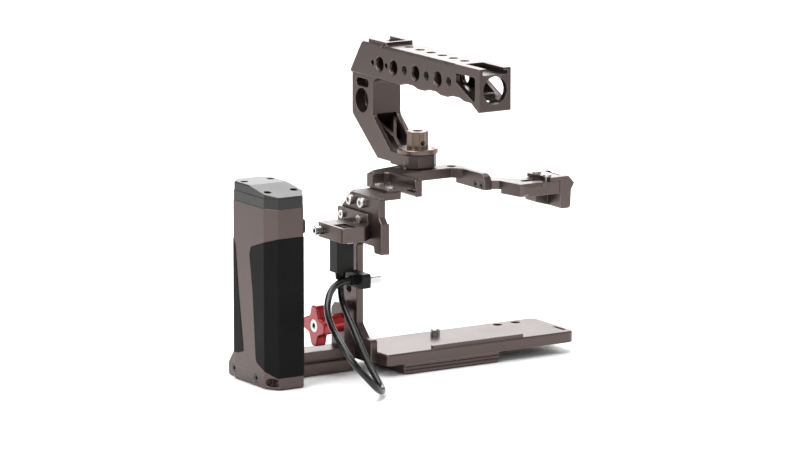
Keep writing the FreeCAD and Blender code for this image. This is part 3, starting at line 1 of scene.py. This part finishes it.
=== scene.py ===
# %% [markdown]
# A camera cage rig is mostly anodised aluminium with a few parts that stand out: black rubber on
# the grip, bright screws, a red star knob, a bronze knob and one thin black lead. The solids come
# from the fixed model, and this lesson dresses them. The first step loads that model and gives a
# way to read the size of any part.

# %% Load the fixed model
import math

import bmesh
import bpy
from mathutils import Matrix, Vector


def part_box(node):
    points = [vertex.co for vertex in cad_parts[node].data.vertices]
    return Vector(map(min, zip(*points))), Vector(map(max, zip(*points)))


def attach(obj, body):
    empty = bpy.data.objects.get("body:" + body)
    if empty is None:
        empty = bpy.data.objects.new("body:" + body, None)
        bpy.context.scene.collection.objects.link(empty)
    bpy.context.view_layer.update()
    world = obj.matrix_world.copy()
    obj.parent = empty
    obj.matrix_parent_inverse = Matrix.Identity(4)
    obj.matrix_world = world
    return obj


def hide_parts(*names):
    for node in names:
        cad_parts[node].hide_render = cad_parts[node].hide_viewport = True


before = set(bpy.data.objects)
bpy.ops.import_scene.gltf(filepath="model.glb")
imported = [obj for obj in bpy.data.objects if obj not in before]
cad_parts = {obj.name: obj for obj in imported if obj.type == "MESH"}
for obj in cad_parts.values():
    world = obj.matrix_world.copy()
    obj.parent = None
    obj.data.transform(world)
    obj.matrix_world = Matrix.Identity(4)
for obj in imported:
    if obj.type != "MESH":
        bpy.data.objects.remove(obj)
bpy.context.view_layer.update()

# %% [markdown]
# Everything below is in metres, and the sizes of a rig like this are thought of
# in millimetres, so one short name turns the second into the first. Another
# makes an object and links it into the scene.

# %% Millimetres and objects
MM = 0.001


def mm(*values):
    """A point given in millimetres, in metres."""
    return Vector(values) * MM


def show(name, data):
    """Object with the given data, linked into the scene."""
    thing = bpy.data.objects.new(name, data)
    bpy.context.collection.objects.link(thing)
    return thing


# %% [markdown]
# The photograph looks at the rig from behind and to the left, a little from
# above, through a long lens. A long lens far away keeps the uprights parallel,
# so the camera stands over three metres off and uses a narrow field of view.

# %% Camera
def aim(thing, target):
    """Turn a lamp or camera so that it looks at a point."""
    away = thing.location - target
    thing.rotation_mode = "QUATERNION"
    thing.rotation_quaternion = away.to_track_quat("Z", "Y")


lens_data = bpy.data.cameras.new("view_camera")
lens_data.sensor_width = 36
lens_data.lens = 234
lens_data.clip_start = 0.1
lens_data.clip_end = 20
view_camera = show("view_camera", lens_data)
view_camera.location = mm(-1759, -2785, 724)
look = Vector((0.519, 0.834, -0.189))
aim(view_camera, view_camera.location + look)
bpy.context.scene.camera = view_camera
print("camera at", tuple(round(v, 3) for v in view_camera.location))

# %% [markdown]
# The rig stands on white, lit softly. Big soft lamps overhead, at the left and
# behind give the broad sheen that shows the bends of the metal. Two weak ones
# and an even world fill the rest, over a plain pale floor.

# %% Studio
def soft_lamp(name, spot, size, power):
    """A rectangular lamp, aimed at the middle of the rig."""
    data = bpy.data.lights.new(name, "AREA")
    data.shape = "RECTANGLE"
    data.size, data.size_y = size
    data.energy = power
    lamp = show(name, data)
    lamp.location = spot
    aim(lamp, mm(-15, 10, 90))


soft_lamp("key_lamp", (-1.3, -0.3, 1.0), (0.9, 0.9), 16)
soft_lamp("rear_lamp", (-0.35, -1.7, 0.85), (0.5, 0.5), 3)
soft_lamp("top_lamp", (0.0, 0.2, 1.4), (1.3, 1.1), 26)
soft_lamp("back_lamp", (0.85, 1.35, 0.72), (1.8, 0.8), 17)
soft_lamp("right_lamp", (1.3, -0.5, 0.7), (0.6, 0.9), 5)

scene = bpy.context.scene
scene.view_settings.view_transform = "Standard"
world = bpy.data.worlds.new("studio")
scene.world = world
world.use_nodes = True
background = world.node_tree.nodes["Background"]
background.inputs["Color"].default_value = (1, 1, 1, 1)
background.inputs["Strength"].default_value = 0.32

floor_shape = bmesh.new()
bmesh.ops.create_grid(floor_shape, x_segments=1, y_segments=1, size=6)
floor_mesh = bpy.data.meshes.new("floor")
floor_shape.to_mesh(floor_mesh)
floor_shape.free()
floor = show("floor", floor_mesh)
floor.location = (0, 0, -0.0004)

# %% [markdown]
# A finish is a small tree of nodes. Writing the sums of such a tree as plain
# arithmetic keeps it readable, so a small class wraps a socket and turns each
# sign into a Math node. Any other node comes from one method, which takes the
# node's kind, its settings and what its sockets are given.

# %% Tools for finishes
class Level:
    """A socket in a finish that arithmetic can be done on."""

    def __init__(self, finish, socket):
        self.finish = finish
        self.socket = socket

    def sum_of(self, operation, first, second):
        return self.finish.add("ShaderNodeMath", {"operation": operation}, {0: first, 1: second})

    def __add__(self, other):
        return self.sum_of("ADD", self, other)

    __radd__ = __add__

    def __sub__(self, other):
        return self.sum_of("SUBTRACT", self, other)

    def __rsub__(self, other):
        return self.sum_of("SUBTRACT", other, self)

    def __mul__(self, other):
        return self.sum_of("MULTIPLY", self, other)

    __rmul__ = __mul__


class Finish:
    """One material and the tree behind it."""

    def __init__(self, name):
        self.material = bpy.data.materials.new(name)
        self.material.use_nodes = True
        self.tree = self.material.node_tree
        self.tree.nodes.clear()
        self.surface = self.tree.nodes.new("ShaderNodeBsdfPrincipled")
        end = self.tree.nodes.new("ShaderNodeOutputMaterial")
        self.tree.links.new(self.surface.outputs[0], end.inputs["Surface"])
        self.place = self.add("ShaderNodeTexCoord", output="Object")

    def give(self, node, inputs):
        """Set or link a node's sockets."""
        for key, value in inputs.items():
            socket = node.inputs[key]
            if isinstance(value, Level):
                self.tree.links.new(value.socket, socket)
            elif isinstance(value, tuple) and len(value) == 3 and socket.type == "RGBA":
                socket.default_value = (*value, 1)
            else:
                socket.default_value = value

    def add(self, kind, settings=None, inputs=None, output=0):
        """Add a node, its settings first and then its sockets."""
        node = self.tree.nodes.new(kind)
        for key, value in (settings or {}).items():
            if key == "stops":
                for element, (spot, shade) in zip(node.color_ramp.elements, value):
                    element.position = spot
                    element.color = (shade, shade, shade, 1)
            else:
                setattr(node, key, value)
        self.give(node, inputs or {})
        return Level(self, node.outputs[output])

    def noise(self, scale, detail=2.0, rough=0.5, vector=None):
        """Cloudy values from 0 to 1, fixed to the piece."""
        return self.add("ShaderNodeTexNoise", {}, {
            "Vector": vector or self.place, "Scale": scale, "Detail": detail, "Roughness": rough})

    def ramp(self, value, *stops):
        """A value passed through two stops of place and brightness."""
        return self.add("ShaderNodeValToRGB", {"stops": stops}, {0: value})

    def mix(self, share, first, second):
        """A colour between two colours."""
        return self.add("ShaderNodeMix", {"data_type": "RGBA"}, {0: share, 6: first, 7: second}, 2)

    def soft_edge(self, samples, radius):
        """The normal, rounded across each edge by a radius in millimetres."""
        return self.add("ShaderNodeBevel", {"samples": samples}, {"Radius": radius * MM})

    def bump(self, strength, depth, height, normal):
        """A normal that follows a height, with its depth in millimetres."""
        return self.add("ShaderNodeBump", {}, {"Strength": strength, "Distance": depth * MM,
                                               "Height": height, "Normal": normal})

    def wrap(self, **sockets):
        """Set the sockets of the surface itself."""
        self.give(self.surface, {key.replace("_", " "): value for key, value in sockets.items()})
        return self.material


# %% [markdown]
# The frame is bead blasted and anodised a warm grey. Close up it has a very fine grain, and its
# machined edges catch a highlight, which is painted into the colour as a paler line. The painted
# highlight comes from comparing the true normal with one that has been rounded across each edge,
# which finds the edges without any painting by hand.

# %% Anodised metal
def anodised(name, colour, pale, rough, edge_width=0.35, metallic=0.9):
    """Blasted, coloured metal with a painted highlight along its edges."""
    finish = Finish(name)
    soft_edge = finish.soft_edge(6, edge_width)
    true = finish.add("ShaderNodeNewGeometry", {}, {}, "Normal")
    meeting = finish.add("ShaderNodeVectorMath", {"operation": "DOT_PRODUCT"},
                         {0: soft_edge, 1: true}, "Value")
    edge = finish.ramp((1 - meeting) * 5, (0.02, 0.0), (0.9, 1.0))
    blast = finish.noise(2600, 3)
    cloud = finish.noise(38, 3)
    streak = finish.noise(90, 2)
    toned = finish.mix(cloud * 0.5, colour, tuple(c * 1.16 for c in colour))
    # Painted highlight: the paler colour along each edge, broken into streaks by noise.
    edge_highlighted = finish.mix(edge * (streak * 0.5 + 0.5), toned, pale)
    bump = finish.bump(0.06, 0.08, blast, soft_edge)
    return finish.wrap(Base_Color=edge_highlighted, Metallic=metallic, Normal=bump,
                       Roughness=(cloud - 0.5) * 0.12 + (blast - 0.5) * 0.1 + rough)


frame_metal = anodised("frame_metal", (0.104, 0.080, 0.075), (0.36, 0.31, 0.30), 0.37)
handle_metal = anodised("handle_metal", (0.100, 0.077, 0.072), (0.36, 0.31, 0.30), 0.35)
bracket_metal = anodised("bracket_metal", (0.122, 0.096, 0.090), (0.40, 0.35, 0.34), 0.35)
lid_metal = anodised("lid_metal", (0.010, 0.0085, 0.008), (0.05, 0.045, 0.042), 0.36,
                     metallic=0.0)
bronze_metal = anodised("bronze_metal", (0.17, 0.125, 0.10), (0.50, 0.40, 0.34), 0.30)
# A darker copy of the frame colour for the threads: painted shade for the inside of the holes.
thread_shade_metal = anodised("thread_shade_metal", (0.035, 0.029, 0.027), (0.16, 0.14, 0.13), 0.36, 0.12)

# %% [markdown]
# Screws are turned steel: bright, with fine rings from the lathe and tiny
# differences from one to the next. The rings run round each screw's own axis,
# which a stretched noise suggests well enough at this size.

# %% Turned steel
def turned(name, colour, rough, stretch):
    """Machined metal with fine lines across one direction."""
    finish = Finish(name)
    lines = finish.add("ShaderNodeVectorMath", {"operation": "MULTIPLY"},
                       {0: finish.place, 1: stretch})
    cut = finish.noise(900, 2, vector=lines)
    smudge = finish.noise(160, 3)
    soft_edge = finish.soft_edge(4, 0.25)
    shade = finish.mix(smudge, tuple(c * 0.82 for c in colour), colour)
    bump = finish.bump(0.12, 0.03, cut, soft_edge)
    return finish.wrap(Base_Color=shade, Metallic=1.0, Normal=bump,
                       Roughness=smudge * 0.16 + cut * 0.08 + rough)


bright_steel = turned("bright_steel", (0.66, 0.65, 0.64), 0.16, (1, 1, 6))
dark_steel = turned("dark_steel", (0.075, 0.072, 0.074), 0.26, (6, 1, 1))
contact_metal = turned("contact_metal", (0.62, 0.62, 0.64), 0.12, (1, 5, 1))

# %% [markdown]
# The grip's pads are soft black rubber with a close, leathery stipple. Two
# sizes of bump do it: a cell pattern for the stipple and a slow noise so that
# the sheen isn't even. The moulded plastics are the same idea, only finer.

# %% Rubber and plastic
def stippled(name, colour, pale, rough, cell, depth, shine):
    """Black soft or moulded material with a fine stipple."""
    finish = Finish(name)
    cells = finish.add("ShaderNodeTexVoronoi", {"feature": "F1"},
                       {"Vector": finish.place, "Scale": cell}, "Distance")
    wear = finish.noise(55, 4, 0.6)
    grain = finish.noise(cell * 2.2, 2)
    height = cells * 0.7 + grain * 0.5
    bump = finish.bump(depth, 0.12, height, finish.soft_edge(4, 0.4))
    tone = finish.mix(finish.ramp(wear, (0.35, 0.0), (0.75, 1.0)) * 0.6, colour, pale)
    return finish.wrap(Base_Color=tone, Roughness=(wear - 0.5) * 0.18 + (1 - cells) * 0.05 + rough,
                       Normal=bump, Specular_IOR_Level=shine)


grip_rubber = stippled("grip_rubber", (0.0035, 0.0030, 0.0030), (0.007, 0.006, 0.006), 0.50,
                       cell=1500, depth=0.5, shine=0.10)
black_plastic = stippled("black_plastic", (0.0045, 0.0042, 0.0040), (0.009, 0.0085, 0.008), 0.36,
                         cell=2600, depth=0.16, shine=0.22)
lead_rubber = stippled("lead_rubber", (0.003, 0.003, 0.003), (0.006, 0.006, 0.006), 0.22,
                       cell=2200, depth=0.08, shine=0.4)

# %% [markdown]
# The star knob is anodised bright red, so light goes into the colour and comes
# back deeper at the edges. A clear coat over a metallic red gives that look.

# %% Red metal
def red_finish():
    """Deep red anodised metal with a glossy skin."""
    finish = Finish("red_metal")
    cloud = finish.noise(70, 3)
    fine = finish.noise(3000, 2)
    soft_edge = finish.soft_edge(6, 0.5)
    tone = finish.mix(cloud, (0.30, 0.004, 0.009), (0.46, 0.010, 0.016))
    bump = finish.bump(0.06, 0.05, fine, soft_edge)
    return finish.wrap(Base_Color=tone, Metallic=0.55, Normal=bump, Coat_Weight=0.5,
                       Roughness=(fine - 0.5) * 0.1 + cloud * 0.08 + 0.28)


red_metal = red_finish()

# %% [markdown]
# The floor is plain pale paper with hardly any texture, just enough that it
# isn't a flat white.

# %% Floor finish
paper = Finish("floor_paper")
paper_tone = paper.mix(paper.noise(3.0, 2), (0.90, 0.90, 0.90), (0.93, 0.93, 0.93))
floor.data.materials.append(paper.wrap(Base_Color=paper_tone, Roughness=0.85))

# %% [markdown]
# Each solid of the fixed model now gets its finish, through the material slots
# that its object already has.

# %% Dress the fixed model
dressing = {
    frame_metal: ["quick_release_plate", "base_plate", "side_wall", "top_frame", "grip_shell",
                  "foot_bar"],
    bracket_metal: ["right_arm", "end_bracket", "cable_clamp"],
    handle_metal: ["top_handle", "strap_lug"],
    bronze_metal: ["handle_knob"],
    lid_metal: ["grip_collar", "grip_lid"],
    bright_steel: ["plate_screws", "camera_screw", "camera_screw_ring", "wall_socket_screws",
                   "shelf_screws", "foot_pins", "bracket_screws", "knob_screw", "clamp_screw",
                   "clamp_bracket_screws", "locating_pins", "star_screw"],
    dark_steel: ["wall_screws", "lock_knob", "arm_screws", "lid_screws",
                 "grip_side_screws"],
    contact_metal: ["adapter_socket", "plug_tip"],
    black_plastic: ["foot_washer", "cable_adapter", "plug_body", "battery", "side_button",
                    "strain_relief"],
    grip_rubber: ["grip_pad_rear", "grip_pad_front"],
    red_metal: ["star_knob"],
    lead_rubber: ["video_lead"],
}
for material, names in dressing.items():
    for name in names:
        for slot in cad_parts[name].material_slots:
            slot.material = material
print("dressed", sum(map(len, dressing.values())), "of", len(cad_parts))

# %% [markdown]
# The lead is drawn as one smooth curve through the air. A NURBS spline with a
# few control points bends the way a thin cable does, without corners.

# %% Lead
lead_route = [
    (-69.3, -10.0, 62.9), (-77.6, -10.0, 62.9), (-86.0, -12.8, 58.6), (-94.4, -21.8, 49.9),
    (-101.8, -39.0, 43.0), (-106.4, -56.7, 36.9), (-106.2, -73.4, 24.9), (-98.3, -79.6, 14.6),
    (-91.8, -78.3, 8.0), (-82.4, -70.3, 3.0), (-77.7, -60.7, 4.1), (-77.4, -50.4, 11.4),
    (-77.2, -40.6, 20.0), (-76.6, -30.0, 29.6), (-75.2, -19.0, 38.6), (-73.9, -7.9, 47.4),
    (-73.2, -4.2, 56.2), (-73.2, -4.2, 63.4)]
lead_curve = bpy.data.curves.new("lead", "CURVE")
lead_curve.dimensions = "3D"
lead_line = lead_curve.splines.new("NURBS")
lead_line.points.add(len(lead_route) - 1)
for point, spot in zip(lead_line.points, lead_route):
    point.co = (*mm(*spot), 1)
lead_line.order_u = 3
lead_line.use_endpoint_u = True
lead_line.resolution_u = 12
lead_curve.bevel_depth = 2.2 * MM
lead_curve.bevel_resolution = 6
lead_curve.use_fill_caps = True
lead = show("lead", lead_curve)
lead.data.materials.append(lead_rubber)
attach(lead, "cage")
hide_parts("video_lead")

# %% [markdown]
# Some forms get more than their solid has. They start as flat outlines in
# millimetres, where each point has its own corner radius, and an outline swept
# between two levels is a prism.

# %% Outlines and prisms
def rounded(points, steps=6):
    """Flat outline with every corner turned into a short curve."""
    spots = []
    for i, (a, b, radius) in enumerate(points):
        corner = Vector((a, b))
        before = Vector(points[i - 1][:2]) - corner
        after = Vector(points[(i + 1) % len(points)][:2]) - corner
        if radius <= 0:
            spots.append(corner)
            continue
        reach = radius / math.tan(before.angle(after) / 2)
        reach = min(reach, 0.45 * before.length, 0.45 * after.length)
        start = corner + before.normalized() * reach
        end = corner + after.normalized() * reach
        for k in range(steps + 1):
            t = k / steps
            spots.append((1 - t) ** 2 * start + 2 * t * (1 - t) * corner + t * t * end)
    return spots


def prism(points, along, low, high):
    """Closed shape: an outline swept along an axis between two levels."""
    order = {"x": (2, 0, 1), "y": (0, 2, 1), "z": (0, 1, 2)}[along]
    shape = bmesh.new()
    ring = []
    for a, b in rounded(points):
        flat = (a, b, low)
        ring.append(shape.verts.new(mm(*(flat[i] for i in order))))
    swept = bmesh.ops.extrude_face_region(shape, geom=[shape.faces.new(ring)])
    tops = [item for item in swept["geom"] if isinstance(item, bmesh.types.BMVert)]
    flat = (0, 0, high - low)
    bmesh.ops.translate(shape, vec=mm(*(flat[i] for i in order)), verts=tops)
    bmesh.ops.recalc_face_normals(shape, faces=shape.faces)
    return shape


def box(x, y, z):
    """Plain box between three pairs of levels."""
    return prism([(x[0], y[0], 0), (x[1], y[0], 0), (x[1], y[1], 0), (x[0], y[1], 0)], "z", *z)


def rod(start, along, radius, length, segments=64):
    """Round bar that starts at a point and runs along an axis."""
    direction = {"x": Vector((1, 0, 0)), "y": Vector((0, 1, 0)), "z": Vector((0, 0, 1))}[along]
    turn = direction.to_track_quat("Z", "Y").to_matrix().to_4x4()
    middle = mm(*start) + direction * length * MM / 2
    shape = bmesh.new()
    bmesh.ops.create_cone(shape, cap_ends=True, segments=segments, radius1=radius * MM,
                          radius2=radius * MM, depth=length * MM,
                          matrix=Matrix.Translation(middle) @ turn)
    return shape


# %% [markdown]
# Machined shapes come from a block and the tools that pass over it. Each tool is
# an object behind a Boolean modifier, and once all have passed, the result is
# kept as a mesh and the tools go.

# %% Machining
def as_mesh(name, shape):
    """Mesh made from a shape, which is then let go."""
    mesh = bpy.data.meshes.new(name)
    shape.to_mesh(mesh)
    shape.free()
    return mesh


def machined(name, mesh, *steps):
    """Object whose mesh has been through steps of an operation and a shape."""
    piece = show(name, mesh)
    tools = []
    for operation, shape in steps:
        tool = show("tool", as_mesh("tool", shape))
        tools.append(tool)
        cutter = piece.modifiers.new("step", "BOOLEAN")
        cutter.operation = operation
        cutter.solver = "EXACT"
        cutter.object = tool
    bpy.context.view_layer.update()
    seen = piece.evaluated_get(bpy.context.evaluated_depsgraph_get())
    result = bpy.data.meshes.new_from_object(seen)
    piece.modifiers.clear()
    piece.data = result
    flats = bmesh.new()
    flats.from_mesh(result)
    bmesh.ops.dissolve_limit(flats, angle_limit=math.radians(0.3), verts=flats.verts,
                             edges=flats.edges)
    flats.to_mesh(result)
    flats.free()
    for tool in tools:
        spare = tool.data
        bpy.data.objects.remove(tool)
        bpy.data.meshes.remove(spare)
    return piece


def copy_of(node):
    """Mesh of a fixed node with its split corners joined again."""
    shape = bmesh.new()
    shape.from_mesh(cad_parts[node].data)
    bmesh.ops.remove_doubles(shape, verts=shape.verts, dist=0.002 * MM)
    return as_mesh(node, shape)


def place(piece, body, material, stands_for=()):
    """Dress a new piece, smooth its round faces and let it ride."""
    piece.data.materials.clear()
    piece.data.materials.append(material)
    piece.data.shade_smooth()
    piece.data.set_sharp_from_angle(angle=math.radians(28))
    weigh = piece.modifiers.new("flat_faces_first", "WEIGHTED_NORMAL")
    weigh.keep_sharp = True
    weigh.weight = 90
    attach(piece, body)
    if stands_for:
        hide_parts(*stands_for)
    print(piece.name, "faces", len(piece.data.polygons))


# %% [markdown]
# The grip's rubber is two pads that leave a waisted strip of metal between them.
# A thin metal sleeve makes that strip, and each pad is a ring a hair larger than
# the sleeve, kept only inside its own outline as seen from the side.

# %% Grip pads
grip_low, grip_high = (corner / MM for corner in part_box("grip_shell"))
grip_left, grip_right = grip_low[0], grip_high[0]
grip_depth = 53.5
grip_rear, grip_front = grip_low[1], grip_low[1] + grip_depth
strap_hole_height, strap_hole_radius = 4.4, 2.9


def grip_plan(inset):
    """Eight sided plan of the grip, inset from its face."""
    left, right = grip_left + inset, grip_right - inset
    rear, front = grip_rear + inset, grip_front - inset
    aside = 5.5
    behind = 9.0 - inset * 0.4
    ahead = behind * 0.7
    return [(left, rear + behind, 1.5), (left + aside, rear, 2), (right - aside, rear, 2),
            (right, rear + behind, 1.5), (right, front - ahead, 1.5), (right - aside, front, 2),
            (left + aside, front, 2), (left, front - ahead, 1.5)]


button_low, button_high = (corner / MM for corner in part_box("side_button"))


def button_room(spare):
    """Space round the side button."""
    return box((button_low[0] - 1, button_high[0] + 4),
               (button_low[1] - spare, button_high[1] + spare),
               (button_low[2] - spare, button_high[2] + spare))


sleeve = machined("grip_sleeve", as_mesh("sleeve", prism(grip_plan(-0.02), "z", 8.4, 116)),
                  ("DIFFERENCE", prism(grip_plan(1.2), "z", 10, 120)),
                  ("DIFFERENCE", button_room(0.15)))
place(sleeve, "cage", frame_metal)
shell = machined("grip_body", copy_of("grip_shell"),
                 ("DIFFERENCE", rod((grip_left + 3, grip_rear - 1, strap_hole_height), "y",
                                    strap_hole_radius, 9.5)))
place(shell, "cage", frame_metal, ("grip_shell",))

rear_outline = [(-24, 98.3, 0), (-20.5, 97.3, 2), (-9.5, 93.8, 4), (4.8, 89.2, 3), (6.5, 84, 3),
                (2.7, 60.6, 30), (-0.7, 18, 2), (-1.8, 15.5, 1.5), (-12, 11.2, 4), (-19.5, 7.6, 1),
                (-24, 7.6, 0)]
front_outline = [(36, 94, 0), (34.5, 93.5, 0), (27.2, 91.1, 3), (24.3, 87.3, 2), (20.6, 57.6, 30),
                 (15.3, 24, 3), (15, 19.5, 1.5), (22, 17.4, 2), (36, 17.4, 0)]
for name, outline, node in (("rear_pad", rear_outline, "grip_pad_rear"),
                            ("front_pad", front_outline, "grip_pad_front")):
    pad = machined(name, as_mesh(name, prism(grip_plan(-0.26), "z", 1, 115)),
                   ("DIFFERENCE", prism(grip_plan(0.9), "z", -5, 120)),
                   ("INTERSECT", prism(outline, "x", grip_left - 3, grip_right + 3)),
                   ("DIFFERENCE", button_room(1.0)))
    place(pad, "cage", grip_rubber, (node,))

# %% [markdown]
# The handle's rear third is a hollow box, and the edges of its big cross holes
# are broken by a small cone. Those cuts pass over a copy of the handle.

# %% Handle
def mouth(place_at, inward, wide, narrow, depth):
    """Cone that breaks the edge of a hole across the handle."""
    shape = bmesh.new()
    turn = Matrix.Rotation(math.radians(90 * inward), 4, "Y")
    centre = mm(*place_at) + Vector((inward * (depth / 2 - 0.05) * MM, 0, 0))
    bmesh.ops.create_cone(shape, cap_ends=True, segments=48, radius1=wide * MM, radius2=narrow * MM,
                          depth=(depth + 0.1) * MM, matrix=Matrix.Translation(centre) @ turn)
    return shape


handle_low, handle_high = (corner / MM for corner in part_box("top_handle"))
handle_left, handle_right = handle_low[0], handle_high[0]
handle_middle = (handle_left + handle_right) / 2
handle_wall = 3.4
hole_height = 187.0
large_hole_places = (62.6, 45.6, 18.8, -8.0)
threaded_hole_places = (32.2, 5.4, -21.4)
cuts = [("DIFFERENCE", box((handle_left + handle_wall, handle_right - handle_wall), (-52.8, 1.5),
                           (181.5, 192.5)))]
for y in large_hole_places:
    for face, inward in ((handle_left, 1), (handle_right, -1)):
        cuts.append(("DIFFERENCE", mouth((face, y, hole_height), inward, 5.4, 4.6, 0.8)))
handle = machined("handle_body", copy_of("top_handle"), *cuts)
place(handle, "cage", handle_metal, ("top_handle",))

# %% [markdown]
# Threaded holes show as fine rings. Ridges line the mouth of each one, a saw
# tooth profile turned round the hole's axis.

# %% Threads
QUARTER_INCH_RADIUS = 3.175
LARGE_HOLE_RADIUS = 4.7
RIM_POINTS = 40
RIGHTWARD, LEFTWARD, DOWNWARD = (1, 0, 0), (-1, 0, 0), (0, 0, -1)


def thread(shape, start, inward, radius, depth, pitch=1.27):
    """Add the ridges of one threaded hole to a shape."""
    turn = Vector(inward).to_track_quat("Z", "Y").to_matrix()
    rows = []
    for k in range(2 * int(depth / pitch) + 1):
        reach = radius - (0.04 if k % 2 == 0 else 0.5)
        ring = []
        for i in range(RIM_POINTS):
            angle = 2 * math.pi * i / RIM_POINTS
            spot = Vector((reach * math.cos(angle), reach * math.sin(angle), 0.5 + k * pitch / 2))
            ring.append(shape.verts.new(mm(*start) + turn @ (spot * MM)))
        rows.append(ring)
    for first, second in zip(rows, rows[1:]):
        for i in range(RIM_POINTS):
            shape.faces.new((first[i - 1], first[i], second[i], second[i - 1]))


handle_top, top_hole_start, top_hole_pitch = 199.5, 45.6, 13.4
frame_hole = (29.6, 25.9, 122.0)
wall_hole_heights, base_hole_places = (52.0, 66.0, 80.0), (62.0, 76.0)
thread_rows = []
for y in threaded_hole_places:
    for x, inward in ((handle_left, RIGHTWARD), (handle_right, LEFTWARD)):
        thread_rows.append(((x, y, hole_height), inward, QUARTER_INCH_RADIUS, 2.8))
for y in large_hole_places:
    for x, inward in ((handle_left + 0.5, RIGHTWARD), (handle_right - 0.5, LEFTWARD)):
        thread_rows.append(((x, y, hole_height), inward, LARGE_HOLE_RADIUS, 2.4, 1.6))
for k in range(6):
    top_hole = (handle_middle, top_hole_start - top_hole_pitch * k, handle_top)
    thread_rows.append((top_hole, DOWNWARD, QUARTER_INCH_RADIUS, 5.0))
thread_rows.append((frame_hole, DOWNWARD, QUARTER_INCH_RADIUS, 5.2))
for z in wall_hole_heights:
    thread_rows.append(((-54.5, 16.25, z), RIGHTWARD, QUARTER_INCH_RADIUS, 4.0))
for x in base_hole_places:
    thread_rows.append(((x, 20.0, 14.0), DOWNWARD, QUARTER_INCH_RADIUS, 5.2))
threads = bmesh.new()
for row in thread_rows:
    thread(threads, *row)
bmesh.ops.recalc_face_normals(threads, faces=threads.faces)
hole_threads = show("hole_threads", as_mesh("hole_threads", threads))
# The ridges take the darker colour, painted shade inside the holes.
place(hole_threads, "cage", thread_shade_metal)

# %% [markdown]
# The star knob has four tapered arms, their edges broken all round, on a round
# hub. Its outline goes out and back once for each arm.

# %% Star knob
star_low, star_high = (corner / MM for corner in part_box("star_knob"))
star_y, star_z = 14.0, 30.5
star_head_thick = 7.2
hub_radius, seat_radius, bore_radius = 6.0, 4.3, 3.05
star_outline = []
for k in range(4):
    turn = math.pi / 2 * k
    for away, aside, radius in ((6.3, -5.2, 3.0), (13.3, -3.3, 2.6), (13.3, 3.3, 2.6)):
        star_outline.append((star_y + away * math.cos(turn) - aside * math.sin(turn),
                             star_z + away * math.sin(turn) + aside * math.cos(turn), radius))
star_front, star_back = star_low[0], star_low[0] + star_head_thick
star_shape = prism(star_outline, "x", star_front + 0.1, star_back)
rims = [edge for edge in star_shape.edges
        if abs(edge.verts[0].co.x - edge.verts[1].co.x) < 0.01 * MM]
bmesh.ops.bevel(star_shape, geom=rims, offset=1.1 * MM, segments=4, profile=0.6, affect="EDGES")
star = machined("star_grip", as_mesh("star", star_shape),
                ("UNION", rod((star_back - 1, star_y, star_z), "x", hub_radius,
                              star_high[0] - star_back + 1)),
                ("DIFFERENCE", rod((star_front - 1, star_y, star_z), "x", seat_radius, 3.0)),
                ("DIFFERENCE", rod((star_front - 1, star_y, star_z), "x", bore_radius, 24)))
place(star, "star", red_metal, ("star_knob",))

# %% [markdown]
# The adapter under the clamp is flatter than the pocket that holds it, so the
# part below the clamp loses nearly its rear half.

# %% Adapter
adapter_low, adapter_high = (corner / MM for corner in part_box("cable_adapter"))
adapter_rear, clamp_underside = -7.9, 88.4
adapter = machined("adapter_body", copy_of("cable_adapter"),
                   ("DIFFERENCE", box((adapter_low[0] - 1, adapter_high[0] + 1),
                                      (adapter_low[1] - 1, adapter_rear),
                                      (adapter_low[2] - 1, clamp_underside))))
place(adapter, "cage", black_plastic, ("cable_adapter",))
